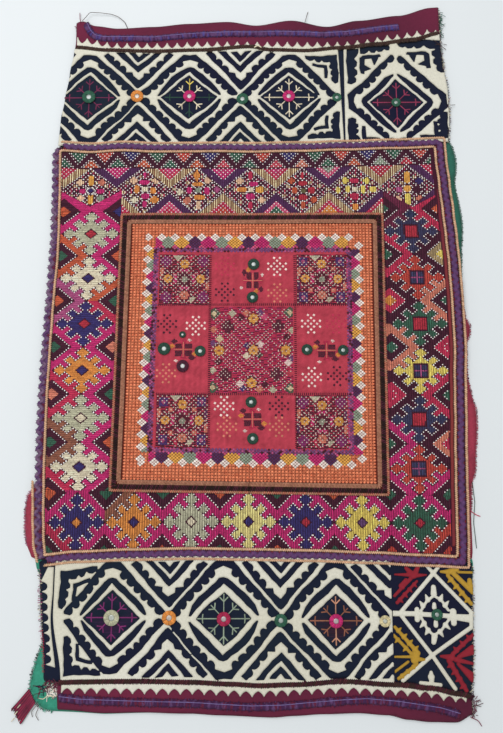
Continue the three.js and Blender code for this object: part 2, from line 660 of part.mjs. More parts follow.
function addCentreTrims() {
  const trims = [
    { name: 'centre_edge', from: -0.6, to: 1.4, height: 1.4, colour: 'terracotta' },
    { name: 'centre_braid', from: 1.7, to: 6.2, height: 1.0, colour: 'darkBraid' },
    { name: 'centre_cord', from: 6.5, to: 10.8, height: 1.5, colour: 'tanBrown' },
  ];
  for (const { name, from, to, height, colour } of trims) {
    addSheet(name, centreInset(from), TRIM_LEVEL, height, colour, [centreInset(to)]);
  }
}

// Line at an even distance outside the square's braid, round its top, right and bottom
function threeSides(offset, topStart, bottomStart) {
  const top = seam('topBraid', offset);
  const right = side('rightBraid', offset * RIGHT_SIDE_STRETCH);
  const bottom = seam('bottomBraid', -offset);
  const upper = cornerOf(top, right);
  const lower = cornerOf(bottom, right);
  return [
    ...alongSeam(top, topStart, upper[0]),
    ...alongSide(right, upper[1], lower[1]).slice(1),
    ...alongSeam(bottom, lower[0], bottomStart).slice(1),
  ];
}

function fourSides(offset) {
  const top = seam('topBraid', -offset);
  const right = side('rightBraid', -offset * RIGHT_SIDE_STRETCH);
  const bottom = seam('bottomBraid', offset);
  const left = side('leftCord', offset - TAN_CORD_OFFSET);
  return panelOutline(top, bottom, left, right);
}

function addSquareTrims() {
  const outer = TAN_CORD_OFFSET;
  const band = (near, far, topStart, bottomStart) => [
    ...threeSides(far, topStart, bottomStart), ...threeSides(near, topStart, bottomStart).reverse(),
  ];
  addSheet('square_rickrack', band(-BRAID_HALF, BRAID_HALF, -204, -201), TRIM_LEVEL, BRAID_HEIGHT, 'purple');
  addSheet('square_cord_outer', band(outer - TAN_CORD_HALF, outer + TAN_CORD_HALF, -206, -203), TRIM_LEVEL,
    TAN_CORD_HEIGHT, 'tan');
  addSheet('square_cord_inner', fourSides(outer - TAN_CORD_HALF), TRIM_LEVEL, TAN_CORD_HEIGHT, 'tan',
    [fourSides(outer + TAN_CORD_HALF)]);

  const stripRight = -(outer + TAN_CORD_HALF) * RIGHT_SIDE_STRETCH - GAP;
  const strip = [
    ...alongSide(side('rightBraid', stripRight), -213, 198),
    ...alongSide(side('rightBraid', stripRight - RED_STRIP_WIDTH), 198, -213),
  ];
  addSheet('red_strip', strip, TRIM_LEVEL, RED_STRIP_HEIGHT, 'redStrip');
}

function addScallopedRickrack() {
  const [top, bottom] = [206, -224];
  const steps = Math.round(((top - bottom) / SCALLOP_PITCH) * 2);
  const route = Array.from({ length: steps + 1 }, (_, i) => {
    const y = top + ((bottom - top) * i) / steps;
    const swing = i % 2 === 0 ? SCALLOP_DEPTH : -SCALLOP_DEPTH;
    return [side('leftBraid', SCALLOP_SHIFT + swing)(y), y];
  });
  addSheet('left_rickrack', ribbonOutline(route, SCALLOP_HALF), TRIM_LEVEL, BRAID_HEIGHT, 'purple');
}

// A round glass disc in a raised ring of stitches
function addMirrors() {
  for (const { name, x, y, r, ring } of MIRRORS) {
    const profile = toVectors([
      [0, 0], [r, 0], [r, MIRROR_HEIGHT * 0.65], [r * 0.72, MIRROR_HEIGHT], [r * 0.45, MIRROR_HEIGHT * 0.6],
      [0, MIRROR_HEIGHT * 0.6],
    ]);
    const geometry = new THREE.LatheGeometry(profile, MIRROR_SIDES).rotateX(Math.PI / 2);
    const mesh = new THREE.Mesh(geometry, material(ring, 0.7));
    mesh.name = name;
    mesh.position.set(x, y, TRIM_LEVEL);
    runner.add(mesh);
  }
}

// Frayed end of a maroon strip: locks that part from each other towards the tip
function addFrayedStrip() {
  const { left, right } = FRAY_TIP;
  const locks = FRAY_LOCKS.length;
  const root = [FRAY_ROOT[0], FRAY_ROOT[FRAY_ROOT.length - 1]];
  const middle = (a, b) => [(a[0] + b[0]) / 2, (a[1] + b[1]) / 2];
  const tipMiddle = middle(left, right);
  const rootMiddle = middle(...root);
  const length = Math.hypot(rootMiddle[0] - tipMiddle[0], rootMiddle[1] - tipMiddle[1]);
  const inward = [(rootMiddle[0] - tipMiddle[0]) / length, (rootMiddle[1] - tipMiddle[1]) / length];
  const tipAt = (t, back) => [
    left[0] + (right[0] - left[0]) * t + inward[0] * back,
    left[1] + (right[1] - left[1]) * t + inward[1] * back,
  ];
  const ends = FRAY_LOCKS.flatMap((back, k) => [
    ...(k === 0 ? [] : [tipAt((k + 0.12) / locks, FRAY_SLIT * 0.5)]),
    tipAt((k + (k === 0 ? 0 : 0.3)) / locks, back),
    tipAt((k + (k === locks - 1 ? 1 : 0.7)) / locks, back),
    ...(k === locks - 1 ? [] : [tipAt((k + 0.88) / locks, FRAY_SLIT * 0.5), tipAt((k + 1) / locks, FRAY_SLIT)]),
  ]);
  addSheet('frayed_strip', [...FRAY_ROOT, ...ends], 0, FRAY_THICK, 'maroon');
}

addLinings();
addEndGrounds();
addEndBands();
addSawtoothStrips();
addTopCutwork();
addBottomCutwork();
addLeaves();
addEndTrims();
addBands();
addCentreTrims();
addSquareTrims();
addScallopedRickrack();
addMirrors();
addFrayedStrip();

export default runner;
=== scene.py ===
# Looks for an embroidered patchwork table runner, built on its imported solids.
# Places are in millimetres, with the length along y, until a mesh is written in metres.
import math

import bpy
import numpy as np
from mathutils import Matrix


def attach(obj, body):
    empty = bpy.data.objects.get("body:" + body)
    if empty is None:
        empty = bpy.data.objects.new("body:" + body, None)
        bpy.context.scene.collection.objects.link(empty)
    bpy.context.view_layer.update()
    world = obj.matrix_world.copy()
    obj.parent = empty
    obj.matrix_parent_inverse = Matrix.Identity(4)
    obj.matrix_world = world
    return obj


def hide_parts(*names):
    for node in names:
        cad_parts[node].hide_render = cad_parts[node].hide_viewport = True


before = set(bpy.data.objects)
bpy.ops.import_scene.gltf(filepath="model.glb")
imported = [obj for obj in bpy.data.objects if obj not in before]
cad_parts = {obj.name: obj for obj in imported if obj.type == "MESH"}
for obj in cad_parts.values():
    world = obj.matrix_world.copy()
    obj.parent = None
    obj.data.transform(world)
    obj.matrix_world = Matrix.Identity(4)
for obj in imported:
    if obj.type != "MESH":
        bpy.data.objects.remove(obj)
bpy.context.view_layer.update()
rng = np.random.default_rng(11)

# Layers, from the table up
GAP = 0.3
GROUND_LEVEL = 1.3
GROUND_THICK = 1.2
CUTWORK_LEVEL = 2.8
EMBROIDERED_THICK = 1.7
STITCH_LEVEL = GROUND_LEVEL + EMBROIDERED_THICK
TRIM_LEVEL = 3.8
# Kinds of sheet: level, thickness, width of the hem
LAYERS = {
    "lining": (0, 1.0, 2),
    "ground": (GROUND_LEVEL, GROUND_THICK, 2),
    "end_band": (GROUND_LEVEL, GROUND_THICK, 2.2),
    "sawtooth": (CUTWORK_LEVEL, 0.8, 1.0),
    "cutwork": (CUTWORK_LEVEL, 1.0, 1.3),
    "embroidered": (GROUND_LEVEL, EMBROIDERED_THICK, 1.5),
    "red_strip": (TRIM_LEVEL - 0.7, 0.9, 1.4),
    "torn_strip": (0, 1.5, 1.6),
}

# Grid steps of the sheets
GROUND_STEP = 4
END_BAND_STEP = 2.2
TEETH_STEP = 0.68
CUTWORK_STEP = 0.95
LATTICE_STEP = 0.85
LEAF_STEP = 0.7
CENTRE_STEP = 2.8
RED_STRIP_STEP = 1.4
TORN_STRIP_STEP = 0.6

# Sheets: share of the thickness left at the edge, pull of the rim onto the outline in steps, depth of the
# edge darkened by wear and painted shade, soft puckers, and the share of the flat map for the underside and
# the top
HEM_FOOT = 0.35
RIM_PULL = 0.8
WORN_AND_SHADED_EDGE = 2.0
PUCKER_MEAN, PUCKER_BROAD, PUCKER_FINE = 0.85, 0.55, 0.25
UNDER_MAP = 0.015
TOP_MAP_START, TOP_MAP_SPAN = 0.03, 0.96

# Shaders
COLOUR_LAYER = "thread_colour"
DYE_SCALE = 420
WEAVE_SCALE = 314
CLOUD_SCALE = 500
BUMP_DISTANCE = 0.0004

# Stitches
FINE_STEP = 0.5
STITCH_HEIGHT = 0.45
# Share of a stitch's colour left at its foot: painted shade in the hollows between the threads
STITCH_FOOT_SHADE = 0.5
THREAD_SHARE = 0.84
# Share of a dot's colour left at its foot: painted shade round each knot
DOT_FOOT_SHADE = 0.65
DOT_JITTER = 0.08
FIBRE_WIDTH, FIBRE_HEIGHT = 0.7, 0.4
TOP_THREAD = 1.18

# Seams and trims
CORNER_TURNS = 6
ROUTE_STEP = 4.0
TAN_CORD_OFFSET = 5.0
RIGHT_SIDE_STRETCH = 1.12
SCALLOP_PITCH = 9.8
SCALLOP_SHIFT = -1.0
# Share of a braid's colour left at its edges and foot: painted shade on its rounded sides
BRAID_EDGE_SHADE = 0.7
# Sawtooth strips: first and last place, number of teeth, depth of the hollows
TOP_TEETH = (-195, 208, 36, 7.2)
BOTTOM_TEETH = (-182, 206, 34, 5.7)

# Camera, taken from the photo's frame of 503 by 733
CAMERA_PLACE = (0.0, -0.1375, 0.6655)
CAMERA_TILT = math.atan2(0.156, 0.9878)
CAMERA_LENS = 650 / 733 * 36

# Seam lines across the cloth: places x, heights y
SEAMS = {
    "top_edge": (
        [-197, -191, -175, -150, -110, -70, -27, 5, 45, 85, 120, 165, 203, 211],
        [358.5, 361, 355, 352, 354.5, 358, 360, 355.5, 362, 354.5, 362, 367.5, 377.5, 378],
    ),
    "top_teeth": (
        [-196, -190, -150, -90, -60, 100, 124, 157, 190, 211],
        [342, 340, 334, 334, 335.5, 335.5, 338, 344, 349, 353],
    ),
    "top_cord": (
        [-197, -160, -110, -60, 0, 20, 60, 100, 140, 180, 211],
        [327.5, 324, 322.7, 324, 328.3, 324.5, 323.5, 327, 331.5, 337, 344.5],
    ),
    "top_braid": (
        [-212, -175, -140, -100, -40, 0, 60, 100, 150, 216],
        [209.5, 207.5, 209.5, 208, 208.5, 208, 209, 210.5, 212, 214],
    ),
    "bottom_braid": (
        [-210, -170, -120, -60, 0, 60, 120, 170, 218],
        [-226, -222.5, -220.5, -219.5, -220.5, -221.5, -223.5, -226, -228],
    ),
    "bottom_cord": (
        [-200, -160, -110, -60, -20, 10, 40, 90, 140, 170, 200, 214],
        [-339.5, -338.5, -337.8, -338.5, -340.5, -342, -341, -338, -341, -344, -349.5, -353],
    ),
    "bottom_teeth": (
        [-190, -150, -60, -20, 0, 30, 60, 95, 130, 165, 190, 212],
        [-350, -350, -350.5, -352, -353, -352, -350.5, -349.5, -351, -353, -357, -361],
    ),
    "bottom_edge": (
        [-186, -140, -100, -60, -30, 20, 40, 70, 100, 130, 150, 170, 195, 212],
        [-364, -367, -366.5, -367.5, -369, -371, -369.5, -368, -367, -369, -373, -375, -375.5, -368],
    ),
}

# Edges and side seams down the cloth: heights y, places x
SIDES = {
    "left_top": ([205, 240, 265, 295, 320, 335, 362], [-211, -209.5, -206, -202, -198.5, -196.5, -197]),
    "right_top": ([205, 240, 275, 305, 328, 340, 380], [214, 217, 217, 214, 212, 211, 211]),
    "left_bottom": (
        [-350, -335, -320, -305, -290, -270, -250, -220],
        [-196, -200, -200.5, -202, -204, -206, -207.5, -210],
    ),
    "right_bottom": (
        [-378, -346, -335, -310, -290, -260, -220],
        [211, 211, 213, 214.5, 215, 216.5, 217.5],
    ),
    "band_left_end": ([-370, -340], [-185, -187]),
    "left_slit": ([-340, -275, -225], [-183.3, -193.2, -193.2]),
    "left_braid": (
        [-230, -200, -150, -130, -85, -30, 12, 60, 110, 150, 195, 214],
        [-206, -211.5, -212.8, -213.3, -214, -213.5, -212, -210.5, -209.6, -210.3, -211.5, -211],
    ),
    "left_cord": (
        [-224, -200, -170, -130, -60, -20, 20, 50, 80, 110, 150, 206],
        [-203.3, -206, -207.5, -208.5, -209, -208.5, -207.5, -206.5, -205, -205.2, -206, -207.5],
    ),
    "left_outer_cord": ([-227, -210, -180, -150], [-211, -215.5, -217.5, -219]),
    "right_braid": (
        [-230, -200, -160, -120, -80, -50, -10, 30, 75, 105, 135, 165, 195, 216],
        [208, 209.4, 210.2, 211.2, 212.9, 214, 216, 215.4, 214.2, 212.5, 210.4, 207.8, 205.3, 204.4],
    ),
}

# Corners of the centre panel, anticlockwise from the lower left
CENTRE = np.array([(-142.0, -158.8), (137.3, -163.2), (140.2, 132.4), (-138.9, 131.8)])

# Lining outlines, each anticlockwise from its lower left corner
LINING_TOP = [
    (-207, 62), (221.5, 62), (222.5, 76), (223, 94), (225, 108), (225.5, 126), (223, 145), (220.5, 160),
    (219.5, 170), (222, 185), (222, 198), (219, 210), (215.5, 217), (215, 260), (212, 300), (209, 340),
    (208, 373), (165, 364), (120, 357), (80, 351), (0, 352), (-70, 354), (-150, 348), (-194, 355),
    (-195, 335), (-200, 297), (-207, 217),
]
LINING_MIDDLE = [
    (-217, -225), (219, -225), (219.5, -180), (221, -152), (225, -143), (226.5, -135), (227, -120),
    (229, -105), (230, -90), (229.7, -77), (226.5, -66), (225.5, -58), (223, -48), (222.5, -30), (223.5, -6),
    (227.5, 0), (228, 11), (224, 18), (222, 30), (221.5, 61.7), (-207, 61.7), (-210, -80), (-212, -150),
    (-219, -156), (-224, -163), (-226, -175), (-225.5, -195), (-223, -212),
]
LINING_BOTTOM = [
    (-213, -343), (-210.5, -352), (-205, -358.5), (-199.5, -363.5), (-190, -365.5), (-140, -368), (-60, -366),
    (20, -369), (100, -365), (150, -371), (195, -373.5), (208, -366), (209, -345), (213, -300), (215, -260),
    (218.5, -237), (219, -225.3), (-214, -225.3), (-212, -234), (-205, -247), (-204, -275), (-201, -300),
    (-204.5, -310), (-207, -318), (-211, -332),
]

# Routes of the rickracks on the end bands
TOP_RICKRACK = [
    (-186, 357), (-182, 348), (-176, 341.5), (-165, 339.3), (-110, 339), (-90, 341), (-60, 343.5),
    (-30, 344.5), (0, 344.7), (30, 345.5), (60, 345.5), (80, 343.7), (110, 346), (130, 349),
    (150, 351.5), (165, 353),
]
BOTTOM_RICKRACK = [
    (-184, -353), (-165, -355.3), (-120, -356.7), (-60, -358), (-20, -360.3), (0, -361.5), (30, -360.5),
    (60, -358), (90, -355.5), (110, -354.7), (140, -357), (160, -360), (180, -363), (198, -368),
]

# Colours of cloths and threads
COLOURS = {
    "green lining": "#3f9a80", "rose lining": "#a93f53", "navy": "#191b33", "navy teal": "#1d2a36",
    "cord grey": "#54443c", "maroon": "#762a44", "dark maroon": "#4a2032", "cream": "#ebe7d8",
    # The palest purple on the next line is the painted highlight along the end rickracks
    "cream old": "#ddd7c0", "purple": "#684672", "purple blue": "#54488c", "purple highlight": "#8a7ab0",
    "purple dark": "#4e2a52", "purple grey": "#80627f", "purple line": "#744472", "tan": "#e8bc9a",
    # The darker tan on the next line is painted shade in the core of the tan cords
    "tan dark": "#d0a07c", "cord red": "#5e2c38", "black": "#1c1418", "magenta": "#c02c6c",
    "hot pink": "#c83c70", "mauve": "#a9507c", "crimson": "#bc3150", "terracotta": "#c25a3c",
    "salmon": "#d07c66", "brown": "#8e5a46", "navy thread": "#343068", "plum": "#42192b",
    "sage": "#b9b79b", "bone": "#dfd2b6", "orange": "#dc8c44", "yellow": "#e6cc66",
    "pale yellow": "#e8d88c", "slate": "#363a58", "green": "#33604c", "deep green": "#2a463a",
    "khaki": "#a89068", "white": "#f8f1ec", "red": "#b43240", "orange red": "#bc463a", "pink": "#cf5278",
    "rose": "#c04454", "orange cloth": "#f28a62", "orange deep": "#e27853", "amber": "#e0a24c",
    "tan brown": "#c08a70", "dark brown": "#3c2620", "grey green": "#8d9a86", "leaf red": "#9c2c39",
    "leaf yellow": "#c79c3c", "thread plum": "#702a4a", "thread maroon": "#8c3450", "violet": "#7a2c64",
    "olive": "#66603f", "cord brown": "#453230", "straw": "#d6c79c", "wine": "#6a2640",
    "deep pink": "#a92a4e", "dark green lining": "#33695a", "teal lining": "#387463", "brick": "#96403c",
    "dot": "#fbf4ee", "pale rose": "#ecd4ca", "patch dot": "#d4c2b4", "brick dark": "#74301f",
    # The brick ground of the border on the next line is partly painted shade for the gaps between its cross
    # stitches
    "night plum": "#33163a", "night red": "#331626", "shell": "#f0e2d8", "border ground and gap shade": "#6a2a20",
    "glass": "#dfe6e2", "board": "#e9edef",
}


def linear(text):
    """Linear red, green and blue of a colour written as hexadecimal."""
    parts = np.array([int(text[i:i + 2], 16) for i in (1, 3, 5)]) / 255
    return np.where(parts <= 0.04045, parts / 12.92, ((parts + 0.055) / 1.055) ** 2.4)


COLOUR_NAMES = list(COLOURS)
COLOUR_TABLE = np.array([linear(COLOURS[name]) for name in COLOUR_NAMES])


def code(name):
    return COLOUR_NAMES.index(name)


def codes_in(names):
    """Codes of colour names written with commas between them."""
    return [code(name) for name in names.split(", ")]


def colour(name):
    return COLOUR_TABLE[code(name)]


# Lines and outlines

def follow(places, values, place):
    """Smooth run through a table of places and values."""
    places = np.asarray(places, float)
    values = np.asarray(values, float)
    place = np.clip(place, places[0], places[-1])
    i = np.clip(np.searchsorted(places, place, side="right") - 1, 0, len(places) - 2)
    t = (place - places[i]) / (places[i + 1] - places[i])
    return values[i] + (values[i + 1] - values[i]) * t * t * (3 - 2 * t)


def seam(name, shift=0.0):
    return lambda x: follow(*SEAMS[name], x) + shift


def side(name, shift=0.0):
    return lambda y: follow(*SIDES[name], y) + shift


def straight_side(start, end):
    return lambda y: start[0] + (end[0] - start[0]) * (y - start[1]) / (end[1] - start[1])


def straight_seam(start, end):
    return lambda x: start[1] + (end[1] - start[1]) * (x - start[0]) / (end[0] - start[0])


def corner_of(seam_line, side_line):
    """Where a seam meets a side, found by going from one to the other by turns."""
    x = 0.0
    for _ in range(CORNER_TURNS):
        x = float(side_line(seam_line(x)))
    return x, float(seam_line(x))


def along_seam(seam_line, x0, x1):
    xs = np.linspace(x0, x1, max(2, int(abs(x1 - x0) / ROUTE_STEP) + 1))
    return np.column_stack([xs, seam_line(xs)])


def along_side(side_line, y0, y1):
    ys = np.linspace(y0, y1, max(2, int(abs(y1 - y0) / ROUTE_STEP) + 1))
    return np.column_stack([side_line(ys), ys])


def panel_outline(upper, lower, left, right):
    top_left, top_right = corner_of(upper, left), corner_of(upper, right)
    bottom_left, bottom_right = corner_of(lower, left), corner_of(lower, right)
    return np.vstack([
        along_seam(lower, bottom_left[0], bottom_right[0])[:-1],
        along_side(right, bottom_right[1], top_right[1])[:-1],
        along_seam(upper, top_right[0], top_left[0])[:-1],
        along_side(left, top_left[1], bottom_left[1])[:-1],
    ])


def resample(route, step):
    """Points at even steps along a route."""
    route = np.asarray(route, float)
    length = np.concatenate([[0], np.cumsum(np.hypot(*np.diff(route, axis=0).T))])
    places = np.linspace(0, length[-1], max(3, int(length[-1] / step) + 1))
    return np.column_stack([np.interp(places, length, route[:, k]) for k in (0, 1)])


def rounded(route, step, reach):
    """Even points along a route with its corners rounded over the given reach."""
    points = resample(route, step)
    width = max(1, int(reach / step))
    padded = np.vstack([np.repeat(points[:1], width, axis=0), points, np.repeat(points[-1:], width, axis=0)])
    kernel = np.hanning(2 * width + 3)[1:-1]
    kernel /= kernel.sum()
    smooth = np.column_stack([np.convolve(padded[:, k], kernel, mode="valid") for k in (0, 1)])
    smooth[0], smooth[-1] = points[0], points[-1]
    return smooth


def normals_of(points):
    """Directions along a route and across it."""
    tangents = np.gradient(points, axis=0)
    tangents /= np.hypot(*tangents.T)[:, None] + 1e-9
    return tangents, np.column_stack([-tangents[:, 1], tangents[:, 0]])


def within(x, y, limits):
    """Whether places lie inside limits on the left, right, bottom and top."""
    left, right, bottom, top = limits
    return (x > left) & (x < right) & (y > bottom) & (y < top)


# Meshes

def lift(x, y):
    """How far the whole cloth stands off the table in its soft puckers."""
    broad = np.sin(x * 0.031 + 1.7 * np.sin(y * 0.011)) * np.sin(y * 0.027 + 0.8)
    fine = np.sin(x * 0.11 + 2.0 * np.sin(y * 0.05)) * np.sin(y * 0.093 + 1.1)
    return PUCKER_MEAN + PUCKER_BROAD * broad + PUCKER_FINE * fine


class Bundle:
    """Points, faces and colours gathered for one mesh."""

    def __init__(self):
        self.points, self.colours = [], []
        self.faces = {3: [], 4: []}
        self.count = 0

    def add(self, points, faces, colours):
        points = np.asarray(points, float)
        self.points.append(points)
        self.colours.append(np.broadcast_to(colours, (len(points), 3)))
        for group in faces:
            group = np.asarray(group)
            if len(group):
                self.faces[group.shape[1]].append(group + self.count)
        self.count += len(points)


def planar_map(mesh, points, loops, counts):
    """A flat map from above, with the faces that look down gathered in its corner."""
    low, high = points[:, :2].min(axis=0), points[:, :2].max(axis=0)
    spread = ((points[:, :2] - low) / (high - low))[loops]
    normals = np.empty(len(counts) * 3, np.float32)
    mesh.polygons.foreach_get("normal", normals)
    under = np.repeat(normals.reshape(-1, 3)[:, 2] < -0.5, counts)
    uv = np.where(under[:, None], spread * UNDER_MAP, TOP_MAP_START + spread * TOP_MAP_SPAN)
    mesh.uv_layers.new(name="OFBake").data.foreach_set("uv", uv.astype(np.float32).ravel())


def mesh_of(name, bundle):
    """The mesh of a bundle, in metres, lifted by the puckers and with its own colours."""
    points = np.vstack(bundle.points)
    points[:, 2] += lift(points[:, 0], points[:, 1])
    groups = [np.vstack(bundle.faces[size]) for size in (3, 4) if bundle.faces[size]]
    counts = np.concatenate([np.full(len(group), group.shape[1]) for group in groups])
    loops = np.concatenate([group.ravel() for group in groups])
    mesh = bpy.data.meshes.new(name)
    mesh.vertices.add(len(points))
    mesh.vertices.foreach_set("co", (points * 0.001).astype(np.float32).ravel())
    mesh.loops.add(len(loops))
    mesh.loops.foreach_set("vertex_index", loops.astype(np.int32))
    mesh.polygons.add(len(counts))
    mesh.polygons.foreach_set("loop_start", (np.cumsum(counts) - counts).astype(np.int32))
    mesh.polygons.foreach_set("use_smooth", np.ones(len(counts), bool))
    mesh.update(calc_edges=True)
    planar_map(mesh, points, loops, counts)
    tint = mesh.color_attributes.new(name=COLOUR_LAYER, type="FLOAT_COLOR", domain="POINT")
    shades = np.column_stack([np.vstack(bundle.colours), np.ones(len(points))])
    tint.data.foreach_set("color", shades.astype(np.float32).ravel())
    return mesh


def put_in_scene(name, data):
    item = bpy.data.objects.new(name, data)
    bpy.context.scene.collection.objects.link(item)
    return item


def build(name, bundle, kind, nodes=()):
    """One piece of the runner, of a kind of material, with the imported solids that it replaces."""
    mesh = mesh_of(name, bundle)
    mesh.materials.append(MATERIALS[kind])
    piece = put_in_scene(name, mesh)
    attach(piece, "root")
    if nodes:
        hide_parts(*nodes)


# Materials

def new_material(name):
    """A material with its nodes, its links and its shader."""
    material = bpy.data.materials.new(name)
    material.use_nodes = True
    nodes, links = material.node_tree.nodes, material.node_tree.links
    return material, nodes, links, nodes["Principled BSDF"]


def set_inputs(node, values):
    for name, value in values.items():
        node.inputs[name].default_value = value


def mapped(nodes, links, source, low, high, start=0.0, end=1.0):
    """A value that runs from low to high while its source goes from start to end."""
    run = nodes.new("ShaderNodeMapRange")
    set_inputs(run, {"From Min": start, "From Max": end, "To Min": low, "To Max": high})
    links.new(source, run.inputs["Value"])
    return run.outputs["Result"]


def tinted(nodes, links, operation, factor, socket):
    """The mesh's own colours, changed by a factor."""
    tint = nodes.new("ShaderNodeVertexColor")
    tint.layer_name = COLOUR_LAYER
    product = nodes.new("ShaderNodeVectorMath")
    product.operation = operation
    links.new(tint.outputs["Color"], product.inputs[0])
    links.new(factor, product.inputs[socket])
    return product.outputs["Vector"]


def woven(nodes, links, place, height, pitch):
    """A height with the two sets of threads of a weave added to it."""
    for direction in ("X", "Y"):
        thread = nodes.new("ShaderNodeTexWave")
        thread.bands_direction = direction
        set_inputs(thread, {"Scale": WEAVE_SCALE / pitch, "Distortion": 0.6, "Detail": 1})
        links.new(place, thread.inputs["Vector"])
        joined = nodes.new("ShaderNodeMath")
        joined.operation = "ADD"
        links.new(height, joined.inputs[0])
        links.new(thread.outputs["Fac"], joined.inputs[1])
        height = joined.outputs["Value"]
    return height


def fabric(name, weave, relief, mottle, rough=(0.8, 1.0), glint=0.12, gain=1.0):
    """Cloth or thread in the mesh's own colours, with uneven dye, a weave and a soft sheen."""
    material, nodes, links, shader = new_material(name)
    set_inputs(shader, {"Sheen Weight": 0.03, "Sheen Roughness": 0.5, "Specular IOR Level": glint})
    place = nodes.new("ShaderNodeTexCoord").outputs["Object"]
    noise = nodes.new("ShaderNodeTexNoise")
    set_inputs(noise, {"Scale": DYE_SCALE, "Detail": 6, "Roughness": 0.75})
    links.new(place, noise.inputs["Vector"])
    dye = noise.outputs["Fac"]
    shade = mapped(nodes, links, dye, gain * (1 - mottle), gain * (1 + mottle), 0.3, 0.7)
    links.new(tinted(nodes, links, "SCALE", shade, "Scale"), shader.inputs["Base Color"])
    links.new(mapped(nodes, links, dye, *rough), shader.inputs["Roughness"])
    bump = nodes.new("ShaderNodeBump")
    set_inputs(bump, {"Strength": relief, "Distance": BUMP_DISTANCE})
    height = woven(nodes, links, place, dye, weave) if weave else dye
    links.new(height, bump.inputs["Height"])
    links.new(bump.outputs["Normal"], shader.inputs["Normal"])
    return material


def mirror_glass():
    """Old blown mirror glass, a little cloudy."""
    material, nodes, links, shader = new_material("mirror_glass")
    set_inputs(shader, {"Metallic": 0.35, "Coat Weight": 0.3, "Coat Roughness": 0.15})
    noise = nodes.new("ShaderNodeTexNoise")
    set_inputs(noise, {"Scale": CLOUD_SCALE})
    links.new(nodes.new("ShaderNodeTexCoord").outputs["Object"], noise.inputs["Vector"])
    cloud = noise.outputs["Fac"]
    tones = nodes.new("ShaderNodeValToRGB")
    tones.color_ramp.elements[0].color = (0.45, 0.45, 0.45, 1)
    tones.color_ramp.elements[1].color = (1, 1, 1, 1)
    links.new(cloud, tones.inputs["Fac"])
    links.new(tinted(nodes, links, "MULTIPLY", tones.outputs["Color"], 1), shader.inputs["Base Color"])
    links.new(mapped(nodes, links, cloud, 0.2, 0.5), shader.inputs["Roughness"])
    return material


MATERIALS = {
    "cotton": fabric("cotton", weave=0.8, relief=0.4, mottle=0.12),
    "lining": fabric("lining", weave=0.6, relief=0.3, mottle=0.22),
    "thread": fabric("thread", weave=0, relief=0.4, mottle=0.25, rough=(0.6, 0.9), glint=0.2, gain=1.28),
    "cord": fabric("cord", weave=0, relief=0.6, mottle=0.35),
    "braid": fabric("braid", weave=1.3, relief=0.8, mottle=0.35),
    "glass": mirror_glass(),
}


# Cloth cut to an outline

def signed_field(outlines, xs, ys):
    """Distance to the nearest edge, positive inside the first outline and negative in the other ones."""
    gx, gy = np.meshgrid(xs, ys)
    near = np.full(gx.shape, 1e9)
    inside = None
    for points in outlines:
        points = np.asarray(points, float)
        enclosed = np.zeros(gx.shape, bool)
        for (x0, y0), (x1, y1) in zip(points, np.roll(points, -1, axis=0)):
            dx, dy = x1 - x0, y1 - y0
            t = np.clip(((gx - x0) * dx + (gy - y0) * dy) / (dx * dx + dy * dy + 1e-9), 0, 1)
            near = np.minimum(near, (gx - x0 - t * dx) ** 2 + (gy - y0 - t * dy) ** 2)
            if y0 != y1:
                enclosed ^= ((y0 > gy) != (y1 > gy)) & (gx < x0 + (gy - y0) * dx / dy)
        inside = enclosed if inside is None else inside & ~enclosed
    return np.where(inside, 1.0, -1.0) * np.sqrt(near)


def kept_cells(field):
    """Grid cells on the cloth, without pairs that touch at one corner alone."""
    mean = (field[:-1, :-1] + field[1:, :-1] + field[:-1, 1:] + field[1:, 1:]) / 4
    keep = mean > 0
    for _ in range(6):
        a, b, c, d = keep[:-1, :-1], keep[:-1, 1:], keep[1:, :-1], keep[1:, 1:]
        rising = a & d & ~b & ~c
        falling = b & c & ~a & ~d
        keep[:-1, :-1] &= ~rising
        keep[:-1, 1:] &= ~falling
    return keep


def stroke_field(strokes, xs, ys):
    """How deep each place lies in tapering strokes. Columns: x, y and half width at each end."""
    gx, gy = np.meshgrid(xs, ys)
    deepest = np.full(gx.shape, -1e3)
    for x0, y0, half0, x1, y1, half1 in strokes:
        dx, dy = x1 - x0, y1 - y0
        t = np.clip(((gx - x0) * dx + (gy - y0) * dy) / (dx * dx + dy * dy), 0, 1)
        away = np.hypot(gx - x0 - t * dx, gy - y0 - t * dy)
        deepest = np.maximum(deepest, half0 + (half1 - half0) * t - away)
    return deepest


def grid_over(outlines, step):
    """Places of a grid that covers some outlines, with a little to spare."""
    every = np.vstack([np.asarray(points, float) for points in outlines])
    low, high = every.min(axis=0) - 2 * step, every.max(axis=0) + 2 * step
    return np.arange(low[0], high[0] + step, step), np.arange(low[1], high[1] + step, step)


def kept_round(keep):
    """How many of the four cells round each grid point are kept."""
    counts = np.zeros(np.add(keep.shape, 1), int)
    for rows in (slice(None, -1), slice(1, None)):
        for columns in (slice(None, -1), slice(1, None)):
            counts[rows, columns] += keep
    return counts


def sheet_faces(keep, number, count):
    """Faces of a closed sheet: its top, its underside and the walls along its edges."""
    a, b = number[:-1, :-1], number[:-1, 1:]
    c, d = number[1:, 1:], number[1:, :-1]
    top = np.column_stack([corner[keep] for corner in (a, b, c, d)])
    ring = np.pad(keep, 1)
    sides = [
        (ring[:-2, 1:-1], a, b), (ring[1:-1, 2:], b, c), (ring[2:, 1:-1], c, d), (ring[1:-1, :-2], d, a),
    ]
    walls = []
    for neighbour, start, end in sides:
        bare = keep & ~neighbour
        walls.append(np.column_stack([start[bare] + count, end[bare] + count, end[bare], start[bare]]))
    return [top, top[:, ::-1] + count, np.vstack(walls)]


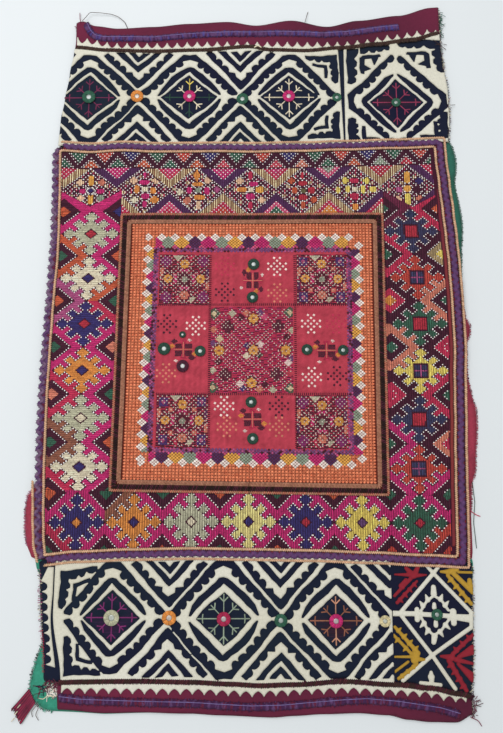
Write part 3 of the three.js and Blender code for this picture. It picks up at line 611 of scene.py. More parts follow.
def cut_cloth(bundle, outlines, step, level, thick, hem, shade, strokes=(), turned_under=0.0):
    """A closed sheet with a rounded hem along every edge; shade gives its colour by place and depth."""
    xs, ys = grid_over(outlines, step)
    field = signed_field(outlines, xs, ys) - turned_under
    if len(strokes):
        field = np.minimum(field, stroke_field(strokes, xs, ys))
    keep = kept_cells(field)
    around = kept_round(keep)
    used = around > 0
    rim = used & (around < 4)
    slope_y, slope_x = np.gradient(field, step)
    size = np.hypot(slope_x, slope_y) + 1e-6
    shift = np.where(rim, np.clip(field, -RIM_PULL * step, RIM_PULL * step), 0)
    gx, gy = np.meshgrid(xs, ys)
    px, py = gx - shift * slope_x / size, gy - shift * slope_y / size
    flat = np.column_stack([px[used], py[used]])
    depth = np.where(rim, 0, np.maximum(field, 0))[used]
    rise = HEM_FOOT + (1 - HEM_FOOT) * np.sqrt(1 - (1 - np.minimum(depth / hem, 1)) ** 2)
    top = np.column_stack([flat, level + thick * rise])
    under = np.column_stack([flat, np.full(len(flat), level)])
    number = np.cumsum(used.ravel()).reshape(used.shape) - 1
    tone = shade(flat[:, 0], flat[:, 1], depth)
    bundle.add(np.vstack([top, under]), sheet_faces(keep, number, len(flat)), np.vstack([tone, tone]))


def plain(name, other=None, patch=0.012, edge=0.85):
    """Colour that drifts a little over the cloth and is darker at its edges, partly from wear and partly as
    painted shade along the hem.
    """
    first = colour(name)
    second = colour(other) if other else first * 0.9

    def shade(x, y, depth):
        across = np.sin(x * patch * 2.3 + 2 * np.sin(y * patch))
        along = np.sin(y * patch * 3.1 + x * patch)
        drift = 0.5 + 0.25 * across + 0.25 * along
        tone = first + (second - first) * (drift * 0.7)[:, None]
        # Darker towards the edges: partly wear, partly painted shade where the hem turns down
        return tone * (edge + (1 - edge) * np.minimum(depth / WORN_AND_SHADED_EDGE, 1))[:, None]

    return shade


def cloth(name, outlines, step, layer, shade, slot, node, **options):
    """One sheet of a layer; the options are those of cut_cloth."""
    bundle = Bundle()
    cut_cloth(bundle, outlines, step, *LAYERS[layer], shade, **options)
    build(name, bundle, "lining" if layer == "lining" else "cotton", [node])


# Threads

def columns_of(count, *parts):
    """Columns of one length from values given once or for every row."""
    return [np.broadcast_to(np.asarray(part, float).reshape(-1, 1), (count, 1)) for part in parts]


def uneven(tone, count, jitter):
    """Thread colours that differ a little in lightness by chance."""
    tones = np.broadcast_to(tone, (count, 3)) * (1 + jitter * rng.standard_normal((count, 1)))
    return np.clip(tones, 0, 1)


class Threads:
    """Straight stitches, each a small ridge from one end to the other, open below."""

    def __init__(self):
        self.rows = []

    def add(self, start, end, width, height, level, tone, jitter=0.12):
        start, end = np.atleast_2d(start).astype(float), np.atleast_2d(end).astype(float)
        tones = uneven(tone, len(start), jitter)
        self.rows.append(np.hstack([start, end, *columns_of(len(start), width, height, level), tones]))

    def into(self, bundle):
        rows = np.vstack(self.rows)
        start, end = rows[:, 0:2], rows[:, 2:4]
        width, height, level = rows[:, 4:5], rows[:, 5:6], rows[:, 6:7]
        reach = np.hypot(*(end - start).T)[:, None] + 1e-6
        ahead = (end - start) / reach
        across = np.column_stack([-ahead[:, 1], ahead[:, 0]]) * width / 2
        slope = ahead * np.minimum(0.3 * reach, 0.5 * width)
        foot = [start - across, end - across, end + across, start + across]
        ridge = [start + slope, end - slope]
        corners = [np.hstack([place, level]) for place in foot]
        corners += [np.hstack([place, level + height]) for place in ridge]
        points = np.stack(corners, axis=1).reshape(-1, 3)
        base = np.arange(len(rows))[:, None] * 6
        quads = np.vstack([base + [0, 1, 5, 4], base + [2, 3, 4, 5]])
        ends = np.vstack([base + [3, 0, 4], base + [1, 2, 5]])
        tones = np.repeat(rows[:, None, 7:10], 6, axis=1)
        # Painted shade: the four corners at the foot of each stitch are darkened
        tones[:, :4] *= STITCH_FOOT_SHADE
        bundle.add(points, [ends, quads], tones.reshape(-1, 3))


class Dots:
    """Small raised stitches, each a low four-sided knot, open below."""

    def __init__(self):
        self.rows = []

    def add(self, places, size, height, level, tone):
        places = np.atleast_2d(places)
        tones = uneven(tone, len(places), DOT_JITTER)
        self.rows.append(np.hstack([places, *columns_of(len(places), size, height, level), tones]))

    def into(self, bundle):
        rows = np.vstack(self.rows)
        place, half, height, level = rows[:, 0:2], rows[:, 2:3] / 2, rows[:, 3:4], rows[:, 4:5]
        corners = []
        for turn in (0.2, 1.77, 3.34, 4.91):
            corners.append(np.hstack([place + half * [math.cos(turn), math.sin(turn)], level]))
        corners.append(np.hstack([place, level + height]))
        points = np.stack(corners, axis=1).reshape(-1, 3)
        base = np.arange(len(rows))[:, None] * 5
        sides = np.vstack([base + [k, (k + 1) % 4, 4] for k in range(4)])
        tones = np.repeat(rows[:, None, 5:8], 5, axis=1)
        # Painted shade: the four corners at the foot of each knot are darkened
        tones[:, :4] *= DOT_FOOT_SHADE
        bundle.add(points, [sides], tones.reshape(-1, 3))


def strand(bundle, route, radius, tone):
    """A loose thread lying along a route of x, y and height."""
    across = normals_of(route[:, :2])[1]
    rings = []
    for turn in range(4):
        angle = math.pi / 2 * turn
        aside = route[:, :2] + across * radius * math.cos(angle)
        rings.append(np.hstack([aside, route[:, 2:3] + radius * (1 + math.sin(angle))]))
    points = np.stack(rings, axis=1).reshape(-1, 3)
    base = np.arange(len(route) - 1)[:, None] * 4
    faces = [base + [k, 4 + k, 4 + (k + 1) % 4, (k + 1) % 4] for k in range(4)]
    last = (len(route) - 1) * 4
    caps = np.array([[0, 1, 2, 3], [last + 3, last + 2, last + 1, last]])
    bundle.add(points, [np.vstack(faces + [caps])], tone)


def mottled(names, count, run=3):
    """Colours that change by chance every few places along a braid."""
    picks = rng.integers(0, len(names), count // run + 1)
    return np.array([colour(names[pick]) for pick in picks]).repeat(run, axis=0)[:count]


def waved(points, swing, pitch):
    """Even points moved from side to side in a steady wave."""
    step = np.hypot(*(points[1] - points[0]))
    phase = np.arange(len(points)) * step / pitch
    return points + normals_of(points)[1] * swing * np.sin(2 * math.pi * phase)[:, None]


def ribbon(bundle, points, half, level, height, names, columns=6, run=3):
    """A flat braid with a rounded back along even points, open below, in colours picked by chance and with
    painted shade towards its edges.
    """
    across = normals_of(points)[1]
    tone = mottled(names, len(points), run)
    rows, tones = [], []
    # Painted shade: the rows darken towards the sides and along the foot
    for spot in np.linspace(-1, 1, columns):
        rise = level + height * (0.3 + 0.7 * math.sqrt(1 - spot * spot * 0.98))
        rows.append(np.column_stack([points + across * half * spot, np.full(len(points), rise)]))
        tones.append(tone * (1 - (1 - BRAID_EDGE_SHADE) * abs(spot) ** 3))
    for spot in (1, -1):
        rows.append(np.column_stack([points + across * half * spot, np.full(len(points), level)]))
        tones.append(tone * BRAID_EDGE_SHADE)
    total = len(rows)
    base = np.arange(len(points) - 1)[:, None] * total
    seen = [k for k in range(total) if k != columns]
    around = [base + [k, total + k, total + (k + 1) % total, (k + 1) % total] for k in seen]
    fan = np.array([[0, k, k + 1] for k in range(1, total - 1)])
    caps = np.vstack([fan, fan[:, ::-1] + (len(points) - 1) * total])
    bundle.add(np.stack(rows, axis=1).reshape(-1, 3), [np.vstack(around), caps],
               np.stack(tones, axis=1).reshape(-1, 3))


def fuzz(bundle, points, half, level, names, length, pitch=0.8):
    """Short loose fibres out over both edges of a braid."""
    spots = resample(points, pitch)
    tangents, across = normals_of(spots)
    threads = Threads()
    for way in (1, -1):
        reach = half + length * rng.random((len(spots), 1))
        lean = tangents * rng.normal(0, 0.6, (len(spots), 1))
        start, end = spots + across * way * half * 0.4, spots + across * way * reach + lean
        threads.add(start, end, FIBRE_WIDTH, FIBRE_HEIGHT, level, mottled(names, len(spots), 1))
    threads.into(bundle)


def twisted_cord(bundle, points, half, level, height, names, dark, pitch=1.9):
    """A cord of slanted strands over a darker core, whose colour is painted shade between the strands."""
    ribbon(bundle, points, half * 0.8, level, height * 0.75, [dark], columns=4)
    spots = resample(points, pitch)
    tangents, across = normals_of(spots)
    threads = Threads()
    lean = tangents * pitch * 0.55
    threads.add(spots - across * half - lean, spots + across * half + lean, pitch * 0.95, height * 0.75,
                level + height * 0.25, mottled(names, len(spots), 1))
    threads.into(bundle)


# Cut-work motifs, about a diamond's middle or about the join between two diamonds

# Depth of the thorns between the lobes of the cut work
THORN = 1.9


def scallops(first, step, count):
    """Round lobes between sharp thorns, stepping from the first thorn."""
    angles = np.linspace(0, math.pi / 2, 7)[1:-1]
    reach = THORN / math.hypot(*step)
    points = []
    for k in range(count):
        x0, y0 = first[0] + step[0] * k, first[1] + step[1] * k
        points.append((x0 + step[0] * reach, y0 - step[1] * reach))
        for angle in angles:
            across, along = 1 - math.cos(angle) ** 0.8, math.sin(angle) ** 0.8
            points.append((x0 + step[0] * across, y0 + step[1] * along))
    return points


def mirrored(points):
    return [(-x, y) for x, y in reversed(points)]


def diamond_half(reach=53.2):
    """The openings above a diamond's middle: its scalloped band and its straight bar."""
    lobes = scallops((7.9, 45.2), (6.8, -7.2), 6)
    band = [(7.2, 55.6), (reach, 5.6), (reach - 0.5, 3.4), (48, 2), (46.5, 1.6)] + lobes[::-1]
    bar = [(0, 39.4), (4, 38.4), (13.4, 30.1), (24, 19.4), (30, 12), (33.8, 4.6), (34.4, 2.6), (32.6, 2.6),
           (30, 5)]
    return [band + [(0, 50.2)] + mirrored(band), bar + [(0, 34.2)] + mirrored(bar)[:-1]]


def lozenge(wide, up, down):
    return [(wide, 0), (0, up), (-wide, 0), (0, -down)]


def join_half():
    """The openings above a join: its scalloped band, its straight bar and the small one."""
    lobes = scallops((13, 31), (6.8, 7.2), 3)
    band = [(0, 10.2), (2.4, 11.8), (38.2, 51.8), (33.6, 54.8)] + lobes[::-1] + [(6.6, 29.6), (6.2, 25)]
    bar = [(0, 30.4), (24.4, 54.7), (16.8, 54.7)]
    small = [(0, 43), (11.2, 54.5), (4.5, 54.5)]
    return [
        band + [(0, 20)] + mirrored(band)[:-1],
        bar + [(0, 37.6)] + mirrored(bar)[:-1],
        small + [(0, 49.4)] + mirrored(small)[:-1],
    ]


CORNER = [
    [(0, 0), (35, 1), (35, 4), (31, 6.5), (27.5, 6), (25, 3.8), (22.5, 7), (19.5, 7.4), (17, 4.4),
     (14.5, 7.8), (10.5, 8), (8, 7), (7, 10), (8.7, 12.5), (8.6, 15), (5.2, 17), (8.2, 19), (8.2, 22.5),
     (5.2, 25), (7, 27), (6.5, 30), (3, 33), (0, 32)],
    [(12, 12), (28, 10), (28.5, 12.6), (15.4, 14.8), (14.4, 26.5), (12, 26.5)],
]
ARM = [
    (0, 0), (9, 0), (9, 3), (8, 5.5), (5.6, 8), (8.4, 10), (8.5, 13), (5.6, 15), (8, 17), (8, 20), (5.2, 22),
    (6.5, 24), (6, 26.5), (3, 28), (0, 27),
]
ANGLE = [(0, 3), (3, 0), (21, 0), (22, 2.5), (5, 4), (4, 22), (0.5, 22)]
WEDGES = [[(13, 4.2), (19, 4.2), (16, 12)], [(4.2, 11.5), (12, 16), (4.4, 19)]]


def moved(shapes, x, y, across, up, down=None):
    """Motifs set in place, with their own scale across, upwards and downwards."""
    down = up if down is None else down
    return [[(x + across * u, y + (up if v >= 0 else down) * v) for u, v in points] for points in shapes]


def turned(shapes):
    return [[(v, u) for u, v in points] for points in shapes]


def slanted(shapes, slope):
    return [[(u, v + slope * u) for u, v in points] for points in shapes]


def hand_cut(shapes):
    """The small waver of an edge cut and turned under by hand."""
    wavering = []
    for points in shapes:
        edges = zip(np.asarray(points, float), np.roll(np.asarray(points, float), -1, axis=0))
        dense = [np.linspace(a, b, max(1, int(np.hypot(*(b - a)) / 5)), endpoint=False) for a, b in edges]
        x, y = np.vstack(dense).T
        aside = 0.7 * np.sin(y * 0.16 + x * 0.05) + 0.35 * np.sin(y * 0.47 + x * 0.21)
        along = 0.7 * np.sin(x * 0.13 + y * 0.043) + 0.35 * np.sin(x * 0.43 - y * 0.19)
        wavering.append(np.column_stack([x + aside, y + along]))
    return wavering


def diamond_openings(x, y, wide, up, down, middle, left=None):
    """One diamond's openings, with scales across, upwards and downwards, and its own across on the left."""
    left = wide if left is None else left
    halves = moved(diamond_half(), 0, 0, 1, up) + moved(diamond_half(), 0, 0, 1, -down)
    halves = [[(u * (wide if u > 0 else left), v) for u, v in points] for points in halves]
    return moved(halves + [lozenge(*middle)], x, y, 1, 1)


def join_openings(x, y, wide, up, down):
    return moved(join_half(), x, y, wide, up) + moved(join_half(), x, y, wide, -down)


def top_cutwork():
    upper, lower = seam("top_cord", -GAP), seam("top_braid", GAP)
    middle = (31, 26, 26.5)
    main = (
        join_openings(-234, 267, 1, 1, 0.97) + diamond_openings(-179, 267, 1, 0.91, 0.96, middle)
        + join_openings(-125.5, 267.5, 1, 0.97, 0.97) + diamond_openings(-68.5, 268, 1.01, 0.91, 0.98, middle)
        + join_openings(-12, 267, 1, 1.02, 0.97) + diamond_openings(41.5, 267.5, 0.98, 0.91, 0.97, middle)
        + moved(CORNER, 96.5, 218.5, -1, 1) + moved(CORNER, 95.5, 318, -1, -1)
    )
    outline = panel_outline(upper, lower, side("left_top"), straight_side((101.5, 213), (97, 326)))
    band, bar = turned(diamond_half(50.8))
    block = moved([lozenge(28.5, 26, 30)], 160, 262, 1, 1)
    for way in (0.98, -0.95):
        block += moved([band], 160, 262, way, 1.1, 1.0) + moved([bar], 160, 262, way, 0.95, 1.03)
    block += (
        moved([ARM], 106.5, 216.5, 1.3, 0.95) + moved([ANGLE], 121.5, 217, 0.85, 0.7)
        + moved([ARM], 215, 220, -1.25, 1.05) + moved([ANGLE], 204, 219.5, -0.9, 0.9)
        + moved([ARM], 106.5, 326, 1.3, -1.55) + moved(turned([ARM]), 121, 331, 1.2, -1.1)
        + moved([ANGLE] + WEDGES, 121, 318.5, 1, -1)
        + moved([ARM], 214, 336, -1.4, -1.4) + moved(turned([ARM]), 204, 336, -1.45, -1.1)
        + moved([ANGLE] + WEDGES, 198.5, 322, -1.15, -0.9)
    )
    block_outline = panel_outline(upper, lower, straight_side((102.2, 213), (102.2, 326)), side("right_top"))
    return [outline] + hand_cut(main), [block_outline] + hand_cut(block)


def left_strip_outline():
    """Narrow strip at the bottom left whose teeth point to the edge."""
    teeth, top, bottom = 8, -246, -323
    pitch = (bottom - top) / teeth
    tips = side("left_bottom", 1.5)
    points = []
    for k in range(teeth):
        y = top + pitch * k
        for place, depth in ((0, 0), (0.12, 3.6), (0.3, 5.8), (0.55, 6.4), (0.8, 5.2), (0.94, 2.4)):
            points.append((float(tips(y + pitch * place)) + depth, y + pitch * place))
    slit = along_side(side("left_slit", -1), -326, -232.5)
    slit[:, 0] -= 3.2 * np.clip((-258 - slit[:, 1]) / 64, 0, 1)
    return points + [(float(tips(bottom)), bottom)] + [tuple(p) for p in slit] + [(-200, -232.5)]


def bottom_cutwork():
    upper, lower = seam("bottom_braid", -GAP), seam("bottom_cord", GAP)
    middle = (27.5, 25.4, 25.8)
    main = (
        moved(slanted(CORNER, -0.14), -187.5, -236.5, 1.05, -1.1) + moved(CORNER, -181, -333.5, 1.0, 1.1)
        + diamond_openings(-136, -280, 0.97, 0.95, 0.92, middle, 0.88)
        + join_openings(-80.5, -280, 1, 0.97, 0.99)
        + diamond_openings(-27, -281, 1.0, 1.0, 1.0, middle) + join_openings(28.5, -282.5, 1, 1.02, 0.99)
        + diamond_openings(82, -283, 0.98, 1.0, 0.96, middle) + join_openings(136, -283, 1, 0.98, 0.97)
    )
    outline = panel_outline(upper, lower, side("left_slit"), straight_side((137, -228), (137, -345)))
    return [outline] + hand_cut(main)


# Bottom right block as tapering strokes. Columns: x, y and half width at one end, then at the other.
BLOCK_LATTICE = [
    (178.6, -238.5, 2.0, 144, -276, 2.0), (178.6, -238.5, 1.9, 214.5, -276, 1.9),
    (144, -276, 1.9, 174, -314.5, 1.9), (214.5, -288, 2.0, 174, -314.5, 1.9),
    (178.6, -238.5, 1.9, 172, -231, 1.7), (178.6, -238.5, 1.9, 185, -231, 1.7),
    (174, -314.5, 1.9, 145, -337.5, 2.0), (174, -314.5, 1.9, 195, -345, 2.0),
    (138, -276, 2.6, 166, -276.4, 2.2), (214, -276, 2.6, 214, -288, 2.6),
    (190, -278.6, 2.2, 214, -281, 4.0), (161, -272.4, 2.4, 161, -281.6, 2.6),
    (196, -274.4, 3.2, 196.4, -285, 2.8), (166, -276.8, 2.2, 192, -278.4, 2.2),
    (178, -251.6, 2.4, 178, -258, 3.0), (176, -302.5, 2.4, 177, -297, 3.0),
    (178, -267.4, 1.8, 178, -270.5, 2.3), (178.8, -283.6, 2.0, 178.8, -287, 2.3),
    (165, -273.5, 1.3, 171, -264.5, 1.3), (171, -264.5, 1.3, 178, -259.6, 1.3),
    (178, -259.6, 1.3, 185, -263.5, 1.3), (185, -263.5, 1.3, 191.5, -273, 1.3),
    (165, -280, 1.3, 170, -290, 1.3), (170, -290, 1.3, 176.3, -296.6, 1.3),
    (176.3, -296.6, 1.3, 184, -291.5, 1.3), (184, -291.5, 1.3, 191.5, -282, 1.3),
    (172, -263.4, 2.6, 170, -258.6, 0.6), (167, -269, 2.6, 164.2, -264.8, 0.6),
    (184.4, -262.8, 2.6, 186.4, -258.2, 0.6), (188.6, -268.6, 2.6, 192, -264.6, 0.6),
    (167.4, -285, 2.6, 163.4, -288.8, 0.6), (171, -291.4, 2.6, 168, -295.6, 0.6),
    (182.4, -292.8, 2.6, 185.4, -297.4, 0.6), (188, -286.6, 2.6, 192.4, -290.6, 0.6),
    (172.2, -330, 1.6, 172.2, -334, 3.2), (172.2, -334, 3.2, 172.6, -339, 2.0),
    (162, -339.5, 1.8, 181, -341.5, 1.8),
]
# Leaves. Columns: x, y and half width at the root, the same at the tip, number of teeth (below zero on the
# right-hand side)
LEAF_BLADES = {
    "leaf_upper_left": [
        (158.5, -240.6, 3.8, 152, -233.5, 2.2, 0), (159.5, -240.6, 3.4, 163.6, -232.6, 2.4, 0),
        (157, -240, 2.4, 140.6, -239.5, 1.0, 0), (160, -240.6, 2.8, 171.6, -240, 0.9, 0),
        (156, -243.6, 2.2, 139.6, -259.6, 1.7, -1), (151.4, -244.8, 2.2, 146, -250.6, 2.4, 0),
        (162, -246, 1.5, 142, -266, 2.0, 4),
    ],
    "leaf_upper_right": [
        (194, -237, 3.0, 186, -237, 1.4, 0), (195, -236.6, 3.4, 201.5, -234.6, 3.0, 0),
        (203, -237.3, 1.5, 216, -237.7, 1.4, 0), (198, -238.4, 2.8, 216, -256, 2.8, 0),
        (213.5, -245, 2.6, 214, -252, 3.6, 0), (192.6, -240.5, 2.2, 214, -267, 2.2, -4),
    ],
    "leaf_lower_left": [
        (139, -288.6, 1.8, 160.5, -312.5, 2.6, 4), (137, -295.5, 1.7, 153.5, -312.5, 2.0, -2),
        (153, -315.8, 1.6, 137, -315.8, 1.2, 0), (158.2, -313.6, 4.6, 157, -318.5, 4.6, 0),
        (158, -317.6, 3, 167.4, -318.8, 1.4, 0), (159, -322.6, 1.9, 141, -335.6, 1.9, 3),
        (150.6, -320.4, 1.5, 137.6, -329.4, 1.5, 0),
    ],
    "leaf_lower_right": [
        (193, -316.6, 3.8, 182.4, -315.4, 1.4, 0), (194, -313.5, 2.4, 214.5, -295.8, 2.0, 3),
        (199.5, -316, 2.0, 213.5, -309.6, 5.4, 0), (197, -318.6, 3.0, 213.5, -322.4, 1.5, 0),
        (198.5, -322.6, 1.6, 212.5, -335, 5.0, 0), (190, -319.5, 2.8, 205.5, -346.5, 2.4, -4),
    ],
}
# Colours of the leaf patches
LEAVES = {
    "leaf_upper_left": "red", "leaf_upper_right": "yellow", "leaf_lower_left": "yellow",
    "leaf_lower_right": "red",
}
BLADE_SLIMMING = 0.86


def blade_strokes(rows):
    """The strokes of a leaf: its blades, and the teeth along one side of each."""
    strokes = []
    for x0, y0, half0, x1, y1, half1, teeth in rows:
        half0, half1 = half0 * BLADE_SLIMMING, half1 * BLADE_SLIMMING
        strokes.append((x0, y0, half0, x1, y1, half1))
        across = np.array([y0 - y1, x1 - x0]) / math.hypot(x1 - x0, y1 - y0) * math.copysign(1, teeth)
        for k in range(abs(teeth)):
            t = (k + 0.6) / (abs(teeth) + 0.2)
            half = half0 + (half1 - half0) * t
            root = np.array([x0 + (x1 - x0) * t, y0 + (y1 - y0) * t])
            strokes.append((*root, half + 0.7, *(root + across * (half + 2.4)), 0.5))
    return strokes


def block_outline():
    """Where the pieces of the bottom right block may lie."""
    return panel_outline(seam("bottom_braid", -GAP), seam("bottom_cord", GAP),
                         straight_side((137.4, -228), (137.4, -345)), side("right_bottom"))


def sawtooth_outline(base, tips, x0, x1, teeth, depth):
    """Cream strip whose sharp teeth point out onto the end band, with round hollows between them."""
    places = np.linspace(0, 1, 9)[:-1]
    hollow = (1 - np.abs(2 * places - 1) ** 1.35) ** (1 / 1.35)
    x = x0 + (x1 - x0) * (np.arange(teeth)[:, None] + places).ravel() / teeth
    strip = tips(x) - base(x)
    deep = np.minimum(depth, np.abs(strip) - 0.8) * np.sign(strip) * np.tile(hollow, teeth)
    edge = np.column_stack([x, tips(x) - deep])
    return np.vstack([along_seam(base, x0, x1), edge[::-1]])


# The cloths

def edged(name, inner, reach):
    """One colour along the edge of a cloth and another inside it."""
    def shade(x, y, depth):
        share = np.clip(depth / reach - 0.5 + 0.4 * np.sin(y * 0.35), 0, 1)[:, None]
        return colour(name) * (1 - share) + colour(inner) * share

    return shade


def make_linings():
    top = edged("dark green lining", "teal lining", 5)
    # Columns: piece, node, outline, grid step, shade, slot
    rows = [
        ("lining_green_top", "lining_top", LINING_TOP, 5, top, "green_lining"),
        ("lining_rose", "lining_middle", LINING_MIDDLE, 6, plain("rose lining"), "rose_lining"),
        ("lining_green_bottom", "lining_bottom", LINING_BOTTOM, 4, plain("green lining"), "green_lining"),
    ]
    for name, node, outline, step, shade, slot in rows:
        cloth(name, [outline], step, "lining", shade, slot, node)


def end_outlines():
    """Outlines of the grounds, bands and sawtooth strips of both ends, by their nodes."""
    half = GAP / 2
    top_sides = (side("left_top"), side("right_top"))
    right = side("right_bottom")
    upper, lower = seam("bottom_braid", -half), seam("bottom_cord", half)
    return {
        "ground_top": panel_outline(seam("top_cord", -half), seam("top_braid", half), *top_sides),
        "ground_bottom": panel_outline(upper, lower, side("left_bottom"), right),
        "end_band_top": panel_outline(seam("top_edge"), seam("top_cord", half), *top_sides),
        "end_band_bottom": panel_outline(seam("bottom_cord", -half), seam("bottom_edge"),
                                         side("band_left_end"), right),
        "sawtooth_top": sawtooth_outline(seam("top_cord", GAP), seam("top_teeth"), *TOP_TEETH),
        "sawtooth_bottom": sawtooth_outline(seam("bottom_cord", -GAP), seam("bottom_teeth"), *BOTTOM_TEETH),
    }


def make_end_cloths():
    outlines = end_outlines()
    # Columns: piece, layer and node, grid step, shade, slot
    rows = [
        ("navy", "ground", GROUND_STEP, plain("navy", "navy teal"), "navy_cloth"),
        ("maroon", "end_band", END_BAND_STEP, plain("maroon", "dark maroon", edge=0.75), "maroon_cloth"),
        ("teeth", "sawtooth", TEETH_STEP, plain("cream", "cream old"), "cream_cloth"),
    ]
    for name, layer, step, shade, slot in rows:
        for end in ("_top", "_bottom"):
            cloth(name + end, [outlines[layer + end]], step, layer, shade, slot, layer + end)


def make_cutwork():
    main, block = top_cutwork()
    shade = plain("cream", "cream old", edge=0.9)
    # Columns: piece, node, outlines, how far its edges are turned under
    rows = [
        ("cut_top", "cutwork_top_main", main, 0.45),
        ("cut_top_block", "cutwork_top_block", block, 0.5),
        ("cut_bottom_strip", "cutwork_bottom_strip", [left_strip_outline()], 0),
        ("cut_bottom", "cutwork_bottom_main", bottom_cutwork(), 0.25),
    ]
    for name, node, outlines, turned_under in rows:
        cloth(name, outlines, CUTWORK_STEP, "cutwork", shade, "cream_cloth", node, turned_under=turned_under)
    cloth("cut_bottom_block", [block_outline()], LATTICE_STEP, "cutwork", shade, "cream_cloth",
          "cutwork_bottom_block", strokes=BLOCK_LATTICE)


def make_leaves():
    for name, tone in LEAVES.items():
        cloth("patch_" + name, [block_outline()], LEAF_STEP, "cutwork", plain("leaf " + tone, edge=0.8),
              tone + "_cloth", name, strokes=blade_strokes(LEAF_BLADES[name]))


# Embroidered star bands, one row per star along the band. Columns: place along, place across, then the
# colours of the star, its core, its arms (before near, before far, after near, after far) and the edge
# triangles before it (near outer, near inner, far outer, far inner). Near is left on a side band and up on
# the bottom one.
LEFT_STARS = [
    (110, -171, "sage, red, magenta, magenta, terracotta, magenta, plum, terracotta, plum, navy thread"),
    (61, -172, "bone, navy thread, terracotta, magenta, mauve, terracotta, plum, green, plum, terracotta"),
    (12, -174, "navy thread, red, mauve, crimson, magenta, magenta, plum, terracotta, plum, green"),
    (-37, -174.5, "orange, navy thread, magenta, magenta, crimson, magenta, plum, green, plum, salmon"),
    (-86, -174, "sage, bone, crimson, magenta, brown, magenta, plum, salmon, plum, green"),
    (-135, -173.5, "bone, navy thread, brown, magenta, crimson, magenta, plum, green, plum, terracotta"),
    (-188, -174, "navy thread, orange, magenta, magenta, magenta, magenta, plum, terracotta, plum, green"),
]
BOTTOM_STARS = [
    (-174, -190, "navy thread, orange, magenta, crimson, magenta, magenta, plum, terracotta, plum, green"),
    (-117, -189.5, "orange, navy thread, brown, magenta, magenta, magenta, plum, green, plum, green"),
    (-60, -189, "sage, bone, magenta, magenta, magenta, magenta, plum, green, plum, terracotta"),
    (-3, -189, "pale yellow, navy thread, magenta, magenta, magenta, magenta, plum, terracotta, plum, green"),
    (54, -189.5, "navy thread, red, magenta, magenta, magenta, magenta, plum, green, plum, terracotta"),
    (110, -190, "yellow, purple, magenta, magenta, magenta, magenta, plum, terracotta, plum, green"),
    (167.5, -190.5, "green, red, magenta, magenta, magenta, orange red, plum, green, plum, orange red"),
]
RIGHT_STARS = [
    (113, 170, "slate, red, wine, crimson, crimson, plum, plum, green, plum, terracotta"),
    (62, 174.5, "orange red, slate, crimson, plum, plum, salmon, plum, green, khaki, yellow"),
    (12, 175.5, "green, red, plum, salmon, salmon, plum, crimson, orange, plum, green"),
    (-37.5, 174.5, "yellow, slate, salmon, plum, plum, crimson, plum, green, crimson, crimson"),
    (-87.5, 170.5, "slate, red, plum, crimson, magenta, plum, crimson, crimson, plum, green"),
    (-137, 168.5, "orange red, slate, magenta, plum, magenta, magenta, plum, green, salmon, crimson"),
    (-190, 168, "green, red, magenta, magenta, magenta, magenta, plum, green, plum, green"),
]
# Cells from one star to the next, rims of a star and its core, half widths of the cross in a square core,
# and dots to a cell
STAR_CELLS = 24
STAR_RIM, CORE_RIM = 0.4, 0.3
CORE_SPLIT = (0.22, 0.36)
DOT_DENSITY = 1.1
# Diamonds of a quarter of a star, then those of the edge triangle: middle across, along, reach in cells
STAR_PARTS = [(0, 0, 7.8), (0, 9, 3), (9, 0, 3), (5.2, 5.2, 2.3), (4.2, 4.2, 1.5)]
EDGE_PARTS = [(12, 12, 7), (12, 12, 3)]
QUARTERS = np.array([(1, 1), (1, -1), (-1, 1), (-1, -1)])


def diamond_spots(c, r, reach):
    """Evenly spaced places round a diamond."""
    share = np.linspace(0, 1, round(DOT_DENSITY * reach), endpoint=False)
    ahead, back = share * reach, reach - share * reach
    sides = [(back, ahead), (-ahead, back), (-back, -ahead), (ahead, -back)]
    return np.vstack([np.column_stack([c + a, r + b]) for a, b in sides])


